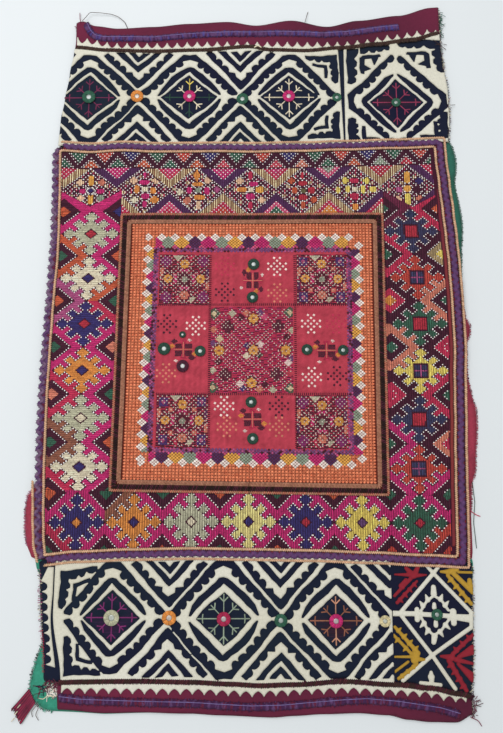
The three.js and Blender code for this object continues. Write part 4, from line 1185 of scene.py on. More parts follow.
class StarBand:
    """The counted pattern of one band: a star in every 24 cells, with triangles along both edges."""

    def __init__(self, table, pitch, square, core):
        self.core, self.pitch, self.square = core, pitch, square
        self.along = np.array([along for along, across, names in table], float)
        self.across = np.array([across for along, across, names in table], float)
        self.codes = np.array([codes_in(names) for along, across, names in table])
        self.turn = 1 if self.along[-1] > self.along[0] else -1
        self.order = slice(None, None, self.turn)
        self.step = np.mean(np.abs(np.diff(self.along)))

    def middle(self, along):
        """The stars' middle line across the band."""
        return np.interp(along, self.along[self.order], self.across[self.order])

    def cells(self, along, across):
        """Cell across, cell along and row of the table for each place."""
        marks = np.arange(len(self.along)) * STAR_CELLS
        gap = self.turn * STAR_CELLS / self.step
        first, last = along - self.along[0], along - self.along[-1]
        total = np.interp(along, self.along[self.order], marks[self.order])
        total = total + np.where(self.turn * first < 0, first * gap, 0)
        total = total + np.where(self.turn * last > 0, last * gap, 0)
        row = np.clip(np.round(total / STAR_CELLS).astype(int), 0, len(self.along) - 1)
        return (across - self.middle(along)) / self.pitch, total - row * STAR_CELLS, row

    def places(self, c, r, row):
        """Place along and across of each cell."""
        along = self.along[row] + self.turn * r * (self.step / STAR_CELLS)
        return np.column_stack([along, self.middle(along) + c * self.pitch])

    def levels(self, c, r):
        """How far inside the star, its core, the edge triangle and its inner one each cell lies."""
        c, r = np.abs(c), np.abs(r)
        star = np.maximum.reduce([reach - np.abs(c - a) - np.abs(r - b) for a, b, reach in STAR_PARTS])
        core = self.core - (np.maximum(c, r * 0.85) if self.square else c + r)
        outer, inner = (reach - np.abs(c - a) - np.abs(r - b) for a, b, reach in EDGE_PARTS)
        return star, core, outer, inner

    def codes_at(self, along, across, mirrored_across=1):
        """Colour code at each place."""
        c, r, row = self.cells(along, across)
        c = c * mirrored_across
        star, core, outer, inner = self.levels(c, r)
        before, near = r < 0, c < 0
        arms = np.select([before & near, before & ~near, ~before & near], [2, 3, 4], 5)
        result = self.codes[row, arms]
        edge_row = np.clip(row + ~before, 0, len(self.along) - 1)
        result = np.where(outer > 0, self.codes[edge_row, np.where(near, 6, 8)], result)
        result = np.where(inner > 0, self.codes[edge_row, np.where(near, 7, 9)], result)
        result = np.where(star > 0, self.codes[row, 0], result)
        result = np.where(core > 0, self.codes[row, 1], result)
        if self.square:
            split = (core > 0) & ((np.abs(c) < CORE_SPLIT[0]) | (np.abs(r) < CORE_SPLIT[1]))
            result = np.where(split & (result == code("slate")), code("mauve"), result)
        rim = (np.abs(star) < STAR_RIM) | (np.abs(outer) < STAR_RIM) | (np.abs(core) < CORE_RIM)
        return np.where(rim, code("plum"), result)

    def dots(self):
        """Where the pale dots of the outlines stand, along and across."""
        spots = np.vstack([diamond_spots(*part) for part in STAR_PARTS + EDGE_PARTS])
        spots = spots[(spots >= 0).all(axis=1) & (spots < STAR_CELLS / 2).all(axis=1)]
        spots = np.unique(np.round(np.vstack([spots * turn for turn in QUARTERS]), 3), axis=0)
        star, core, outer, inner = self.levels(*spots.T)
        on = (np.abs(star) < 0.01) | (np.abs(outer) < 0.01) | ((np.abs(inner) < 0.01) & self.square)
        c, r = np.tile(spots[on], (len(self.along), 1)).T
        return self.places(c, r, np.repeat(np.arange(len(self.along)), on.sum()))


def floats(threads, codes, lines, steps, upright, width, lit_and_shaded, longest=7.0):
    """Surface stitches along each line, one for every run of a colour; two shares of lightness alternate from
    line to line as painted light and shade.
    """
    step = steps[1] - steps[0]
    starts, ends, tones, light = [], [], [], []
    for number, (line, row) in enumerate(zip(lines, codes)):
        turn = np.floor((steps + rng.uniform(0, longest)) / longest)
        cut = np.flatnonzero((row[1:] != row[:-1]) | (turn[1:] != turn[:-1])) + 1
        marks = np.concatenate([[0], cut, [len(row)]])
        for first, last in zip(marks[:-1], marks[1:]):
            if row[first] < 0 or last - first < 2:
                continue
            a, b = steps[first] - step * 0.4, steps[last - 1] + step * 0.4
            starts.append((line, a) if upright else (a, line))
            ends.append((line, b) if upright else (b, line))
            tones.append(row[first])
            # Painted light and shade on alternate lines
            light.append(lit_and_shaded[number % 2])
    tones = COLOUR_TABLE[np.array(tones)] * np.array(light)[:, None]
    threads.add(np.array(starts), np.array(ends), width, STITCH_HEIGHT, STITCH_LEVEL, tones)


def square_depth(u, v):
    return np.maximum(np.abs(u), np.abs(v))


# Charted shapes, as how far inside each a place lies in halves of its width and height
FORMS = {
    "box": lambda u, v: 1 - square_depth(u, v),
    "diamond": lambda u, v: 1 - np.abs(u) - np.abs(v),
    "cross": lambda u, v: np.minimum(1 - square_depth(u, v), 0.5 - np.minimum(np.abs(u), np.abs(v))),
    "star": lambda u, v: 1 - np.minimum(np.abs(u) + np.abs(v), 1.4 * square_depth(u, v)),
    "up": lambda u, v: np.minimum(1 - np.abs(v), (1 - v) / 2 - np.abs(u)),
    "down": lambda u, v: np.minimum(1 - np.abs(v), (1 + v) / 2 - np.abs(u)),
}


def paint(codes, gx, gy, shapes, halo=0.0):
    """Fills shapes over a grid of codes. Columns: form, middle x, y, half width, half height, colour."""
    for form, x, y, wide, tall, name in shapes:
        if halo:
            around = FORMS[form]((gx - x) / (wide + halo), (gy - y) / (tall + halo))
            codes = np.where(around > 0, code("plum"), codes)
        codes = np.where(FORMS[form]((gx - x) / wide, (gy - y) / tall) > 0, code(name), codes)
    return codes


# Depths of the top band's pattern below its seam and of its toothed edge; half a step of its chevrons and of
# its dots; the place of its first hanging tooth; the pitch of its dots
TOP_INSET = 5.6
TOP_TOOTHED = 18
TOP_HALF_STEP = 28.5
TOP_DOT_STEP = 28.4
TOP_HANGING_START = -102
TOP_PITCH = 2.36
# Chevrons of the top band. Columns: place, then the colours of the triangle, its inner part, the chevron, the
# lower chevron, the lower triangle, its inner part, the tooth above the triangle and the tooth half a step to
# the right.
TOP_CHEVRONS = [
    (-202.5, "crimson, crimson, sage, purple dark, pink, pink, green, terracotta"),
    (-145, "magenta, magenta, purple dark, sage, crimson, crimson, green, terracotta"),
    (-88, "crimson, hot pink, sage, purple dark, pink, crimson, green, terracotta"),
    (-30.5, "magenta, hot pink, purple dark, sage, crimson, orange red, rose, green"),
    (26.5, "crimson, hot pink, sage, purple dark, pink, green, rose, salmon"),
    (83, "pink, grey green, purple dark, sage, crimson, orange, green, terracotta"),
    (139.5, "red, crimson, sage, purple dark, crimson, sage, grey green, red"),
    (196, "crimson, crimson, purple dark, purple dark, crimson, pink, green, green"),
]
TOP_HANGING = "green, orange red, navy thread"
TOP_FLOWERS = [
    ("box", -173, 170, 3, 6, "amber"), ("box", -173, 149, 3, 6, "amber"),
    ("box", -182, 158, 4, 3, "magenta"), ("box", -163, 158, 4.4, 3, "magenta"),
    ("diamond", -173, 158.5, 6, 5, "white"), ("diamond", -173, 158.5, 3, 3, "navy thread"),
    ("cross", -184, 150, 4, 4, "tan"), ("cross", -162, 150, 4, 4, "grey green"),
    ("cross", -185, 168, 4, 4, "tan"), ("cross", -161, 168, 4, 4, "salmon"),
    ("box", -123.5, 160, 2.6, 4.6, "orange"), ("box", -106, 158.5, 3, 4, "orange"),
    ("box", -115, 168, 5, 3, "magenta"), ("box", -114, 152, 4, 3.5, "magenta"),
    ("box", -115, 143, 2.5, 4, "magenta"), ("box", -115, 176, 1.6, 4, "magenta"),
    ("box", -114.5, 160, 3.5, 3, "bone"), ("cross", -127, 170, 4.4, 4.4, "tan"),
    ("cross", -104, 148, 4.4, 4.4, "orange"), ("cross", -126, 148, 4, 4, "bone"),
    ("cross", -103, 170, 4, 4, "tan"), ("box", -58, 166, 5.5, 2.2, "orange"),
    ("diamond", -59, 176, 4, 8, "orange"), ("box", -67, 159, 3, 3.6, "magenta"),
    ("box", -48, 158, 3, 4.6, "magenta"), ("box", -56, 151, 6, 3, "orange"),
    ("box", -57, 142, 2.6, 5, "tan"), ("box", -57.5, 159, 3.4, 3, "grey green"),
    ("cross", -69, 147, 4.4, 4.4, "salmon"), ("cross", -47, 171, 4.4, 4.4, "tan"),
    ("cross", -77, 157, 3.4, 4, "bone"), ("cross", -37, 160, 3.6, 4, "mauve"),
    ("box", -10, 160, 5, 2.8, "orange"), ("box", 9, 160, 4, 4, "amber"),
    ("box", -1, 176, 2.4, 4.6, "crimson"), ("box", 2, 166.5, 4.6, 2.8, "magenta"),
    ("box", -1, 152, 4.6, 3.6, "magenta"), ("box", -1, 142, 2.4, 4.4, "crimson"),
    ("box", -0.5, 160, 3, 2.8, "bone"), ("cross", -13, 170, 4, 4, "tan"),
    ("cross", 11, 148, 4, 4, "tan"), ("box", 46.5, 159, 3, 4, "terracotta"),
    ("box", 65, 159, 3.4, 4, "red"), ("box", 55, 167, 5, 3, "red"), ("box", 55, 151, 5, 3.2, "red"),
    ("box", 56, 158.5, 3, 3, "olive"), ("box", 55, 142, 2.4, 4.4, "terracotta"),
    ("cross", 43, 170, 4, 4, "terracotta"), ("cross", 67, 148, 4, 4, "terracotta"),
    ("box", 55, 176, 1.8, 4, "red"), ("box", 104, 160, 2.4, 4.2, "yellow"),
    ("box", 93, 159, 2, 3.6, "yellow"), ("box", 120, 160, 2.4, 4.6, "yellow"),
    ("box", 131, 160, 3.6, 3.4, "yellow"), ("box", 111, 170, 5, 3, "crimson"),
    ("box", 111, 152, 4.6, 3.6, "crimson"), ("box", 111, 140, 3, 4, "orange"),
    ("cross", 101, 170, 3.8, 3.8, "yellow"), ("cross", 124, 170, 3.8, 3.8, "yellow"),
    ("box", 111.5, 160, 3, 2.8, "bone"), ("box", 168, 174, 2.6, 7, "amber"),
    ("box", 168, 149, 3, 7, "yellow"), ("box", 159, 160, 4, 3.4, "mauve"),
    ("box", 178, 160, 5, 3, "plum"), ("box", 168, 161, 3.6, 3.6, "amber"),
    ("cross", 157, 149, 4, 4, "tan"), ("cross", 181, 170, 4, 4, "navy thread"),
    ("cross", 181, 150, 4, 4, "salmon"),
]


def chevron_lines(away):
    """Depths of the edges of the triangle, the chevron, the lower chevron and the lower triangle."""
    return 32 - 0.966 * away, 42.5 - 0.85 * away, 46 + 0.9 * away, 55.5 + 0.95 * away


def top_stripes(x):
    """Fine upright stripes of the pale chevrons and of the ground."""
    column = np.floor(x / TOP_THREAD).astype(int)
    pale = np.select([column % 2 == 1, column % 6 == 0], [code("brown"), code("khaki")], code("straw"))
    dark = np.select([column % 5 == 0, column % 2 == 1], [code("crimson"), code("plum")], code("wine"))
    return pale, dark


def top_chevrons(x, y, away, deep, picks):
    """Chevrons up and down, and a flower between each pair, below the toothed edge."""
    stripes, ground = top_stripes(x)
    upper, chevron, lower, inner = chevron_lines(away)
    speck = (np.floor(x / 4.7) * 5 + np.floor(y / 3.6) * 3).astype(int) % 7
    result = np.select([speck == 0, speck < 3], [stripes, code("plum")], ground)
    result = paint(result, x, y, TOP_FLOWERS, 1.1)
    below = deep > TOP_TOOTHED
    layers = [
        (below & (deep < chevron), picks[2]), (below & (deep < upper), picks[0]),
        (below & (deep < upper - 6), picks[1]), (deep > lower, picks[3]), (deep > inner, picks[4]),
        (deep > inner + 6, picks[5]),
    ]
    for inside, tone in layers:
        striped = np.where(tone == code("sage"), stripes, tone)
        result = np.where(inside, striped, result)
    rims = [deep - chevron, deep - lower, deep - TOP_TOOTHED]
    rim = np.minimum.reduce([np.abs(part) for part in rims]) < 0.9
    return np.where(rim | ~below, code("plum"), result)


def top_codes(x, y):
    """Colour codes of the top band."""
    places = np.array([place for place, names in TOP_CHEVRONS])
    table = np.array([codes_in(names) for place, names in TOP_CHEVRONS])
    number = np.argmin(np.abs(x[..., None] - places), axis=-1)
    aside = x - places[number]
    away = np.abs(aside)
    deep = seam("top_braid")(x) - TOP_INSET - y
    picks = [table[number, column] for column in range(8)]
    result = top_chevrons(x, y, away, deep, picks)
    hanging = np.round((x - TOP_HANGING_START) / TOP_HALF_STEP).astype(int)
    tooth = np.abs(x - TOP_HANGING_START - hanging * TOP_HALF_STEP) / 10 + deep / 12 < 1
    result = np.where(tooth, np.array(codes_in(TOP_HANGING))[hanging % 3], result)
    rise = np.clip((deep - 8) * 0.9, 0, 9) * (deep < TOP_TOOTHED - 0.6)
    beside = np.where(aside > 0, picks[7], table[np.maximum(number - 1, 0), 7])
    result = np.where(away < rise, picks[6], result)
    return np.where(TOP_HALF_STEP - away < rise, beside, result)


def chevron_dots(place):
    """Places and depths of the dots about one chevron: on its lines, and in its triangles and teeth."""
    spots = []
    for c in range(-12, 13):
        away = abs(c) * TOP_PITCH
        upper, chevron, lower, inner = chevron_lines(away)
        aside, beside = abs(away - TOP_DOT_STEP / 2), min(away, TOP_DOT_STEP - away)
        hem, foot = 13.8 - aside * 1.2, 6.2 + beside / 0.9
        depths = [deep for deep in (chevron, lower, hem) if 1 < deep < 70]
        depths += [foot] if foot < 17 else []
        for r in range(30):
            deep = r * TOP_PITCH
            hanging = aside / 10 + deep / 12 < 0.95
            rising = 9 < deep < TOP_TOOTHED - 0.6 and beside < (deep - 8) * 0.9
            triangle = TOP_TOOTHED + 0.5 < deep < upper + 1 or deep > inner - 1
            between = chevron < deep < lower
            if (c + r) % 2 == 0 and (hanging or rising or triangle or between):
                depths.append(deep)
        spots += [(place + c * TOP_PITCH, deep) for deep in depths]
    return spots


def top_dots():
    """Pale dots of the chevrons that no flower covers, and those at the corners of the flowers."""
    x, deep = np.vstack([chevron_dots(place) for place, names in TOP_CHEVRONS]).T
    y = seam("top_braid")(x) - TOP_INSET - deep
    covered = []
    for form, u, v, wide, tall, name in TOP_FLOWERS:
        covered.append(FORMS[form]((x - u) / wide, (y - v) / tall) > 0)
    points = [np.column_stack([x, y])[~np.any(covered, axis=0)]]
    for form, u, v, wide, tall, name in TOP_FLOWERS:
        points.append(np.array([u, v]) + QUARTERS * [wide * 0.9, tall * 0.9])
    return np.vstack(points)


# Bands round the square

# Clearance of the stitches from the cords on the left and right, the end seams and the centre panel
LEFT_CLEAR, RIGHT_CLEAR, SEAM_CLEAR, CENTRE_CLEAR = 1.2, 11.2, 6.2, 0.6
# Stitch grids of the bands. Columns: first and last x, first and last y, thread pitch, whether the threads
# stand upright, lightness of every first and second thread as painted light and shade, size of the dots
BAND_GRIDS = {
    "left": (-212, -138, -165, 163, 1.02, False, (1.3, 0.94), 1.6),
    "right": (136, 208, -166, 163, 1.2, True, (1.24, 0.72), 1.55),
    "bottom": (-212, 208, -224, -157, 1.19, True, (1.18, 0.64), 1.6),
    "top": (-212, 208, 130, 206, TOP_THREAD, True, (1.24, 0.84), 1.5),
}


def side_band_top(x):
    """Height where a side band ends under the top one, lowest at its middle."""
    return 140.5 + 0.55 * np.abs(np.abs(x) - 173)


centre_left = straight_side(CENTRE[3], CENTRE[0])
centre_right = straight_side(CENTRE[2], CENTRE[1])
centre_top = straight_seam(CENTRE[3], CENTRE[2])
centre_bottom = straight_seam(CENTRE[0], CENTRE[1])


def between_cords(x, y):
    """Inside the cords on the left and right of the square."""
    return (x > side("left_cord", LEFT_CLEAR)(y)) & (x < side("right_braid", -RIGHT_CLEAR)(y))


def beside_centre(x, y):
    """At the heights of the side bands."""
    return between_cords(x, y) & (y < side_band_top(x)) & (y > centre_bottom(x))


def in_left(x, y):
    return beside_centre(x, y) & (x < centre_left(y) - CENTRE_CLEAR)


def in_right(x, y):
    return beside_centre(x, y) & (x > centre_right(y) + CENTRE_CLEAR)


def in_bottom(x, y):
    clear = np.where((x > CENTRE[0][0]) & (x < CENTRE[1][0]), CENTRE_CLEAR, 0.0)
    return between_cords(x, y) & (y < centre_bottom(x) - clear) & (y > seam("bottom_braid", SEAM_CLEAR)(x))


def in_top(x, y):
    over_centre = (x > centre_left(y) - CENTRE_CLEAR) & (x < centre_right(y) + CENTRE_CLEAR)
    heights = (y > centre_top(x) + CENTRE_CLEAR) & (y < seam("top_braid", -SEAM_CLEAR)(x))
    return between_cords(x, y) & (over_centre | (y > side_band_top(x))) & heights


def build_stitches(name, threads, knots):
    bundle = Bundle()
    threads.into(bundle)
    knots.into(bundle)
    build(name, bundle, "thread")


def stitch_band(band, codes_at, dots, inside):
    """Counted stitches of a band, with its pale dots over them."""
    x0, x1, y0, y1, pitch, upright, lit_and_shaded, dot_size = BAND_GRIDS[band]
    xs = np.arange(x0, x1, pitch if upright else FINE_STEP)
    ys = np.arange(y0, y1, FINE_STEP if upright else pitch)
    gx, gy = np.meshgrid(xs, ys)
    codes = np.where(inside(gx, gy), codes_at(gx, gy), -1)
    if upright:
        codes = codes.T
    lines, steps = (xs, ys) if upright else (ys, xs)
    threads, knots = Threads(), Dots()
    floats(threads, codes, lines, steps, upright, pitch * THREAD_SHARE, lit_and_shaded)
    dots = dots[inside(dots[:, 0], dots[:, 1])]
    dots = dots + rng.normal(0, 0.12, dots.shape)
    knots.add(dots, dot_size, 0.5, STITCH_LEVEL + 0.4, colour("dot"))
    build_stitches("stitches_" + band, threads, knots)


def make_bands():
    left, right = side("left_braid", SCALLOP_SHIFT), side("right_braid", TAN_CORD_OFFSET)
    top, bottom = seam("top_braid", -GAP / 2), seam("bottom_braid", GAP / 2)
    outlines = {
        "band_top": panel_outline(top, lambda x: centre_top(x) + GAP, left, right),
        "band_left": panel_outline(centre_top, bottom, left, lambda y: centre_left(y) - GAP),
        "band_right": panel_outline(centre_top, bottom, lambda y: centre_right(y) + GAP, right),
        "band_bottom": panel_outline(lambda x: centre_bottom(x) - GAP, bottom, centre_left, centre_right),
    }
    stars_left = StarBand(LEFT_STARS, 2.54, False, 2.6)
    stars_right = StarBand(RIGHT_STARS, 2.5, True, 2.85)
    stars_bottom = StarBand(BOTTOM_STARS, 2.42, False, 2.2)
    stitch_band("left", lambda x, y: stars_left.codes_at(y, x), stars_left.dots()[:, ::-1], in_left)
    stitch_band("right", lambda x, y: stars_right.codes_at(y, x), stars_right.dots()[:, ::-1], in_right)
    stitch_band("bottom", lambda x, y: stars_bottom.codes_at(x, y, -1), stars_bottom.dots(), in_bottom)
    stitch_band("top", top_codes, top_dots(), in_top)
    shade = plain("plum", "dark maroon")
    for node, outline in outlines.items():
        cloth("cloth_" + node, [outline], GROUND_STEP, "embroidered", shade, "embroidered_cloth", node)


# Centre panel

HALF_WIDE, HALF_TALL = 139.6, 147.0
CELL_WIDE, CELL_TALL = 1.775, 1.55
BORDER_COLOURS = codes_in("magenta, grey green, amber, purple dark")
# How far the white diamonds go along a side, in cells from its middle
BORDER_REACH = {"u": 64, "v": 76}
# Left, right, bottom and top of the border, of the purple line inside it and of the hole for the nine-patch
BORDER_LIMITS = (-127.6, 127.6, -135, 135)
PURPLE_LINE = (-103.5, 105.5, -107.5, 110)
BORDER_HOLE = (-98.5, 101, -102.5, 105)
# The same of the rose cloth under the nine-patch
ROSE_LIMITS = (-100, 104, -119, 93)
# Sides of the border. Columns: axis, row of the white diamonds, their first place, first coloured one, order
BORDER_SIDES = [
    ("u", 78, 2, -26, 1),
    ("v", 64, 0, -4, -1),
    ("u", -76, 2, 6, -1),
    ("v", -62, 6, 50, 1),
]


def centre_place(u, v):
    """Place on the slightly skewed centre panel of a place on its upright drawing."""
    a, b = ((u + HALF_WIDE) / (2 * HALF_WIDE))[:, None], ((v + HALF_TALL) / (2 * HALF_TALL))[:, None]
    lower = CENTRE[0] + (CENTRE[1] - CENTRE[0]) * a
    upper = CENTRE[3] + (CENTRE[2] - CENTRE[3]) * a
    return lower + (upper - lower) * b


def border_codes(i, j):
    """Cross-stitch border: orange, then white diamonds, then coloured ones against a purple line."""
    result = np.full(i.shape, code("orange cloth"))
    mixed = rng.random(i.shape)
    result = np.where(mixed < 0.25, code("orange deep"), result)
    for axis, white_row, first, coloured, order in BORDER_SIDES:
        along, deep = (i, j) if axis == "u" else (j, i)
        inward = abs(white_row) - deep * math.copysign(1, white_row)
        step = (along - first + 4) % 8 - 4
        between = (along - first) % 8 - 4
        number = np.round((along - coloured) / 8).astype(int) * order
        clear = np.abs(along) < BORDER_REACH[axis] - 6
        result = np.where(clear & (inward > 2) & (inward < 12), code("pink"), result)
        tone = np.array(BORDER_COLOURS)[number % 4]
        result = np.where(clear & (np.abs(between) + np.abs(inward - 4) <= 4), tone, result)
        white = (np.abs(along) < BORDER_REACH[axis]) & (np.abs(step) + np.abs(inward) <= 2)
        result = np.where(white, np.where(step == inward, code("pale rose"), code("shell")), result)
    return result


def cross_stitches(threads, places, tones):
    for reach, raised in (([1.3, 0], 0), ([0, 1.15], 0.22)):
        threads.add(places - reach, places + reach, 1.4, STITCH_HEIGHT, STITCH_LEVEL + raised, tones)


def border_stitches():
    i, j = (part.ravel() for part in np.meshgrid(np.arange(-80, 81), np.arange(-96, 97)))
    u, v = i * CELL_WIDE, j * CELL_TALL
    keep = ((i + j) % 2 == 0) & within(u, v, BORDER_LIMITS) & ~within(u, v, BORDER_HOLE)
    codes = border_codes(i, j)
    purple = np.where(rng.random(i.shape) < 0.4, code("mauve"), code("purple line"))
    purple = np.where(rng.random(i.shape) < 0.2, code("plum"), purple)
    codes = np.where(within(u, v, PURPLE_LINE), purple, codes)
    threads, knots = Threads(), Dots()
    cross_stitches(threads, centre_place(u[keep], v[keep]), COLOUR_TABLE[codes[keep]])
    orange = (codes == code("orange cloth")) | (codes == code("orange deep"))
    specks = keep & orange & (i % 2 == 0)
    knots.add(centre_place(u[specks], v[specks]), 1.8, 0.4, STITCH_LEVEL + 0.5, colour("brick dark"))
    build_stitches("stitches_border", threads, knots)


# Nine-patch of the centre: middles of the corner patches and whether each has a square frame
CORNER_PATCHES = [(-70.5, 60, False), (74, 60, True), (-70.5, -89, True), (72, -90, False)]
CORNER_HALF = (26.5, 27)
# Flowers of a corner patch: place from its middle, colour of the petals
CORNER_FLOWERS = [(0, 17, "amber"), (17, 0.5, "amber"), (0, -17, "salmon"), (-17.5, 1, "amber")]
PATCH_PITCH = 1.03
PATCH_DOT_LEVEL = STITCH_LEVEL + 0.35
CHECK_PITCH = 3.1
TICK_PITCH = 2.1
TICK_HALF = 1.3
MIDDLE_PATCH = (0.5, -15, 43, 45)
FLOWERS = [(2, 17.5), (35.5, -16), (0, -50), (-33.5, -16), (2, -16)]
# Small charted marks of the middle patch: place and colour
MARKS = [
    (-20, 23, "sage"), (-5, 23.5, "salmon"), (9, 24, "purple"), (-11, 19, "plum"), (14, 19, "pink"),
    (42, 5, "sage"), (37, -2, "plum"), (41, -25, "purple"), (38, -29, "pale rose"), (40, -40, "rose"),
    (-9, -55.5, "navy thread"), (-12, -51, "pale rose"), (8, -57, "salmon"), (14, -52, "plum"),
    (22, -57.5, "sage"), (-39.5, 6, "salmon"), (-40, -8.5, "purple"), (-33, -4, "straw"),
    (-40, -22.5, "crimson"), (-34, -28, "plum"), (-40, -37, "sage"), (-5, -11, "navy thread"),
    (9, -9.5, "pale rose"), (-5, -22, "bone"), (8, -21, "deep green"),
]
# Counted diamonds of dots on the plain patches: place and colour
CHECKS = [
    (-28, 46, "plum"), (-88, 12, "plum"), (88, -43, "plum"), (28, -74, "plum"), (27, 74, "pale rose"),
    (-58, 10, "pale rose"), (62, 12, "pale rose"), (62, -44, "pale rose"), (-28, -74, "pale rose"),
    (27, 45, "salmon"), (-88, -40, "salmon"), (28, -95, "salmon"), (-25, -95, "salmon"),
    (-28, 74, "crimson"), (88, 12, "crimson"),
]
CHECK_CELLS = [
    (1, 3), (-1, 3), (1, -3), (-1, -3), (0, 2), (0, -2), (3, 1), (3, -1), (-3, 1), (-3, -1), (1, 1),
    (1, -1), (-1, 1), (-1, -1), (2, 0), (-2, 0), (0, 0),
]
# Bow-ties on the plain patches: middle, and whether turned on its side
BOW_TIES = [(1.3, 58.4, True), (-70.6, -15.1, False), (77.6, -16.2, False), (0.9, -87.3, False)]
BOW_SHAPES = [
    ("box", -5, 3.7, 3.6, 2.5, "dark maroon"), ("box", 5.2, 3.7, 4, 2.5, "dark maroon"),
    ("box", -5, -4, 3.6, 2.8, "dark maroon"), ("box", 5.2, -4, 4, 2.8, "dark maroon"),
    ("down", 0, 6, 3.6, 4, "crimson"), ("up", 0, -6, 3.6, 4, "crimson"),
    ("diamond", -9.4, 8.6, 4, 3, "dark maroon"), ("diamond", 9, -9, 4.4, 3, "dark maroon"),
    ("diamond", 12, -4.6, 3.4, 3, "orange"), ("diamond", -11.6, 3.6, 3.4, 3, "orange"),
    ("diamond", 6.4, 10, 2.4, 2, "pale rose"), ("diamond", -7.6, -12, 2.4, 2, "pale rose"),
]


def flower_shapes(x, y, size, petal="amber"):
    return [("star", x, y, size + 1.7, size + 1.7, "plum"), ("star", x, y, size, size, petal),
            ("box", x, y, 1.2, 1.0, "brown")]


def corner_shapes(framed):
    """A corner patch about its middle: four flowers round a small square, with marks along its edges."""
    shapes = []
    for way in (1, -1):
        shapes += [
            ("down", -7 * way, 22.5 * way, 6, 3.4, "sage"), ("down", 6 * way, 22 * way, 4.4, 4, "crimson"),
            ("box", -24 * way, 8 * way, 2, 4.4, "salmon"),
            ("box", -24 * way, -7 * way, 2, 4.4, "purple dark"),
        ]
        for tall in (1, -1):
            corner = (19.5 * way, 19.5 * tall)
            if framed:
                shapes += [
                    ("box", *corner, 5, 5, "navy thread"), ("diamond", *corner, 2.6, 2.6, "mauve"),
                    ("box", 12 * way, 12 * tall, 2.2, 2.2, "salmon"),
                ]
            else:
                shapes.append(("cross", *corner, 6, 6, "violet"))
    for x, y in ((0, 10), (0, -10)):
        shapes.append(("box", x, y, 4.6, 1.8, "magenta"))
    for x, y in ((10, 0.5), (-10, 0.5)):
        shapes.append(("box", x, y, 1.8, 4.6, "magenta"))
    for x, y, petal in CORNER_FLOWERS:
        shapes += flower_shapes(x, y, 5.4, petal)
    return shapes + [("box", 0, 0, 6.4, 6.4, "plum"), ("diamond", 0, 0, 4, 4, "grey green")]


def middle_shapes():
    middles = ((-24.5, 9), (28, 9.5), (-27, -41.5), (26, -41))
    shapes = [("cross", x, y, 7, 7, "dark maroon") for x, y in middles]
    for x, y in ((-39, 23), (40, 24), (-40, -55), (40, -56)):
        shapes += [("diamond", x, y, 7, 7, "green"), ("diamond", x, y, 3.4, 3.4, "straw")]
    for x, y, name in MARKS:
        shapes.append(("diamond", x, y, 4.6, 4.2, name))
    for x, y in FLOWERS:
        shapes += flower_shapes(x, y, 6.0)
    return shapes


def ring_of(x, y, radius, count):
    angles = np.arange(count) * 2 * math.pi / count
    return np.column_stack([x + radius * np.cos(angles), y + radius * np.sin(angles)])


def loose_lattice(x, y, wide, tall, step, share):
    """Places on a diagonal lattice, of which a share is stitched."""
    i, j = (part.ravel() for part in np.meshgrid(np.arange(-20, 21), np.arange(-20, 21)))
    on = ((i + j) % 2 == 0) & (np.abs(i * step) < wide) & (np.abs(j * step) < tall)
    on = on & (rng.random(i.shape) < share)
    return np.column_stack([x + i[on] * step, y + j[on] * step])


def fill_patch(threads, x0, y0, wide, tall, ground, shapes, turned_over=False):
    """Stitches a patch of charted shapes; ground names the colours of its lines by turns, or nothing."""
    xs, ys = np.arange(x0 - wide, x0 + wide, FINE_STEP), np.arange(y0 - tall, y0 + tall, PATCH_PITCH)
    gx, gy = np.meshgrid(xs - x0, ys - y0)
    codes = np.full(gx.shape, -1)
    if ground:
        turns = np.floor((gy + tall) / PATCH_PITCH).astype(int) * 2 + np.floor((gx + wide) / 4.6).astype(int)
        picks = np.array(codes_in(ground))
        codes = picks[turns % len(picks)]
    codes = paint(codes, *((gy, gx) if turned_over else (gx, gy)), shapes)
    # Every second line is painted darker, as shade between the stitches
    floats(threads, codes, ys, xs, False, 0.95, (1, 0.8), 4)


# Seams between the nine patches. Columns: place, first and last place along, whether upright
PATCH_SEAMS = [
    (-43.5, -116, 87, True), (45.5, -116, 87, True), (32.5, -97, 101, False), (-61.5, -97, 101, False),
]


def seam_ticks(threads):
    """Short dark stitches over the seams between the nine patches."""
    for line, first, last, upright in PATCH_SEAMS:
        along = np.arange(first, last, TICK_PITCH)
        places = np.column_stack([np.full(len(along), line), along])
        reach = np.array([TICK_HALF, 0])
        if not upright:
            places, reach = places[:, ::-1], reach[::-1]
        threads.add(places - reach, places + reach, 0.8, 0.4, STITCH_LEVEL + 0.3, colour("plum"))


def corner_stitches(threads, knots, x, y, framed):
    fill_patch(threads, x, y, *CORNER_HALF, "plum, wine, crimson, plum, black", corner_shapes(framed))
    dots = [ring_of(x, y, 8.2, 10), loose_lattice(x, y, *CORNER_HALF, 2.3, 0.8)]
    dots += [ring_of(x + u, y + v, 7.6, 12) for u, v, petal in CORNER_FLOWERS]
    knots.add(np.vstack(dots), 1.6, 0.6, PATCH_DOT_LEVEL, colour("patch dot"))


def middle_stitches(threads, knots):
    x, y, wide, tall = MIDDLE_PATCH
    shapes = [(form, u - x, v - y, *rest) for form, u, v, *rest in middle_shapes()]
    ground = "deep pink, wine, crimson, hot pink, deep pink, plum, crimson"
    fill_patch(threads, x, y, wide, tall, ground, shapes)
    dots = [ring_of(u, v, 7.6, 12) for u, v in FLOWERS] + [loose_lattice(x, y, wide - 1, tall - 1, 2.1, 0.6)]
    knots.add(np.vstack(dots), 1.55, 0.6, PATCH_DOT_LEVEL, colour("patch dot"))


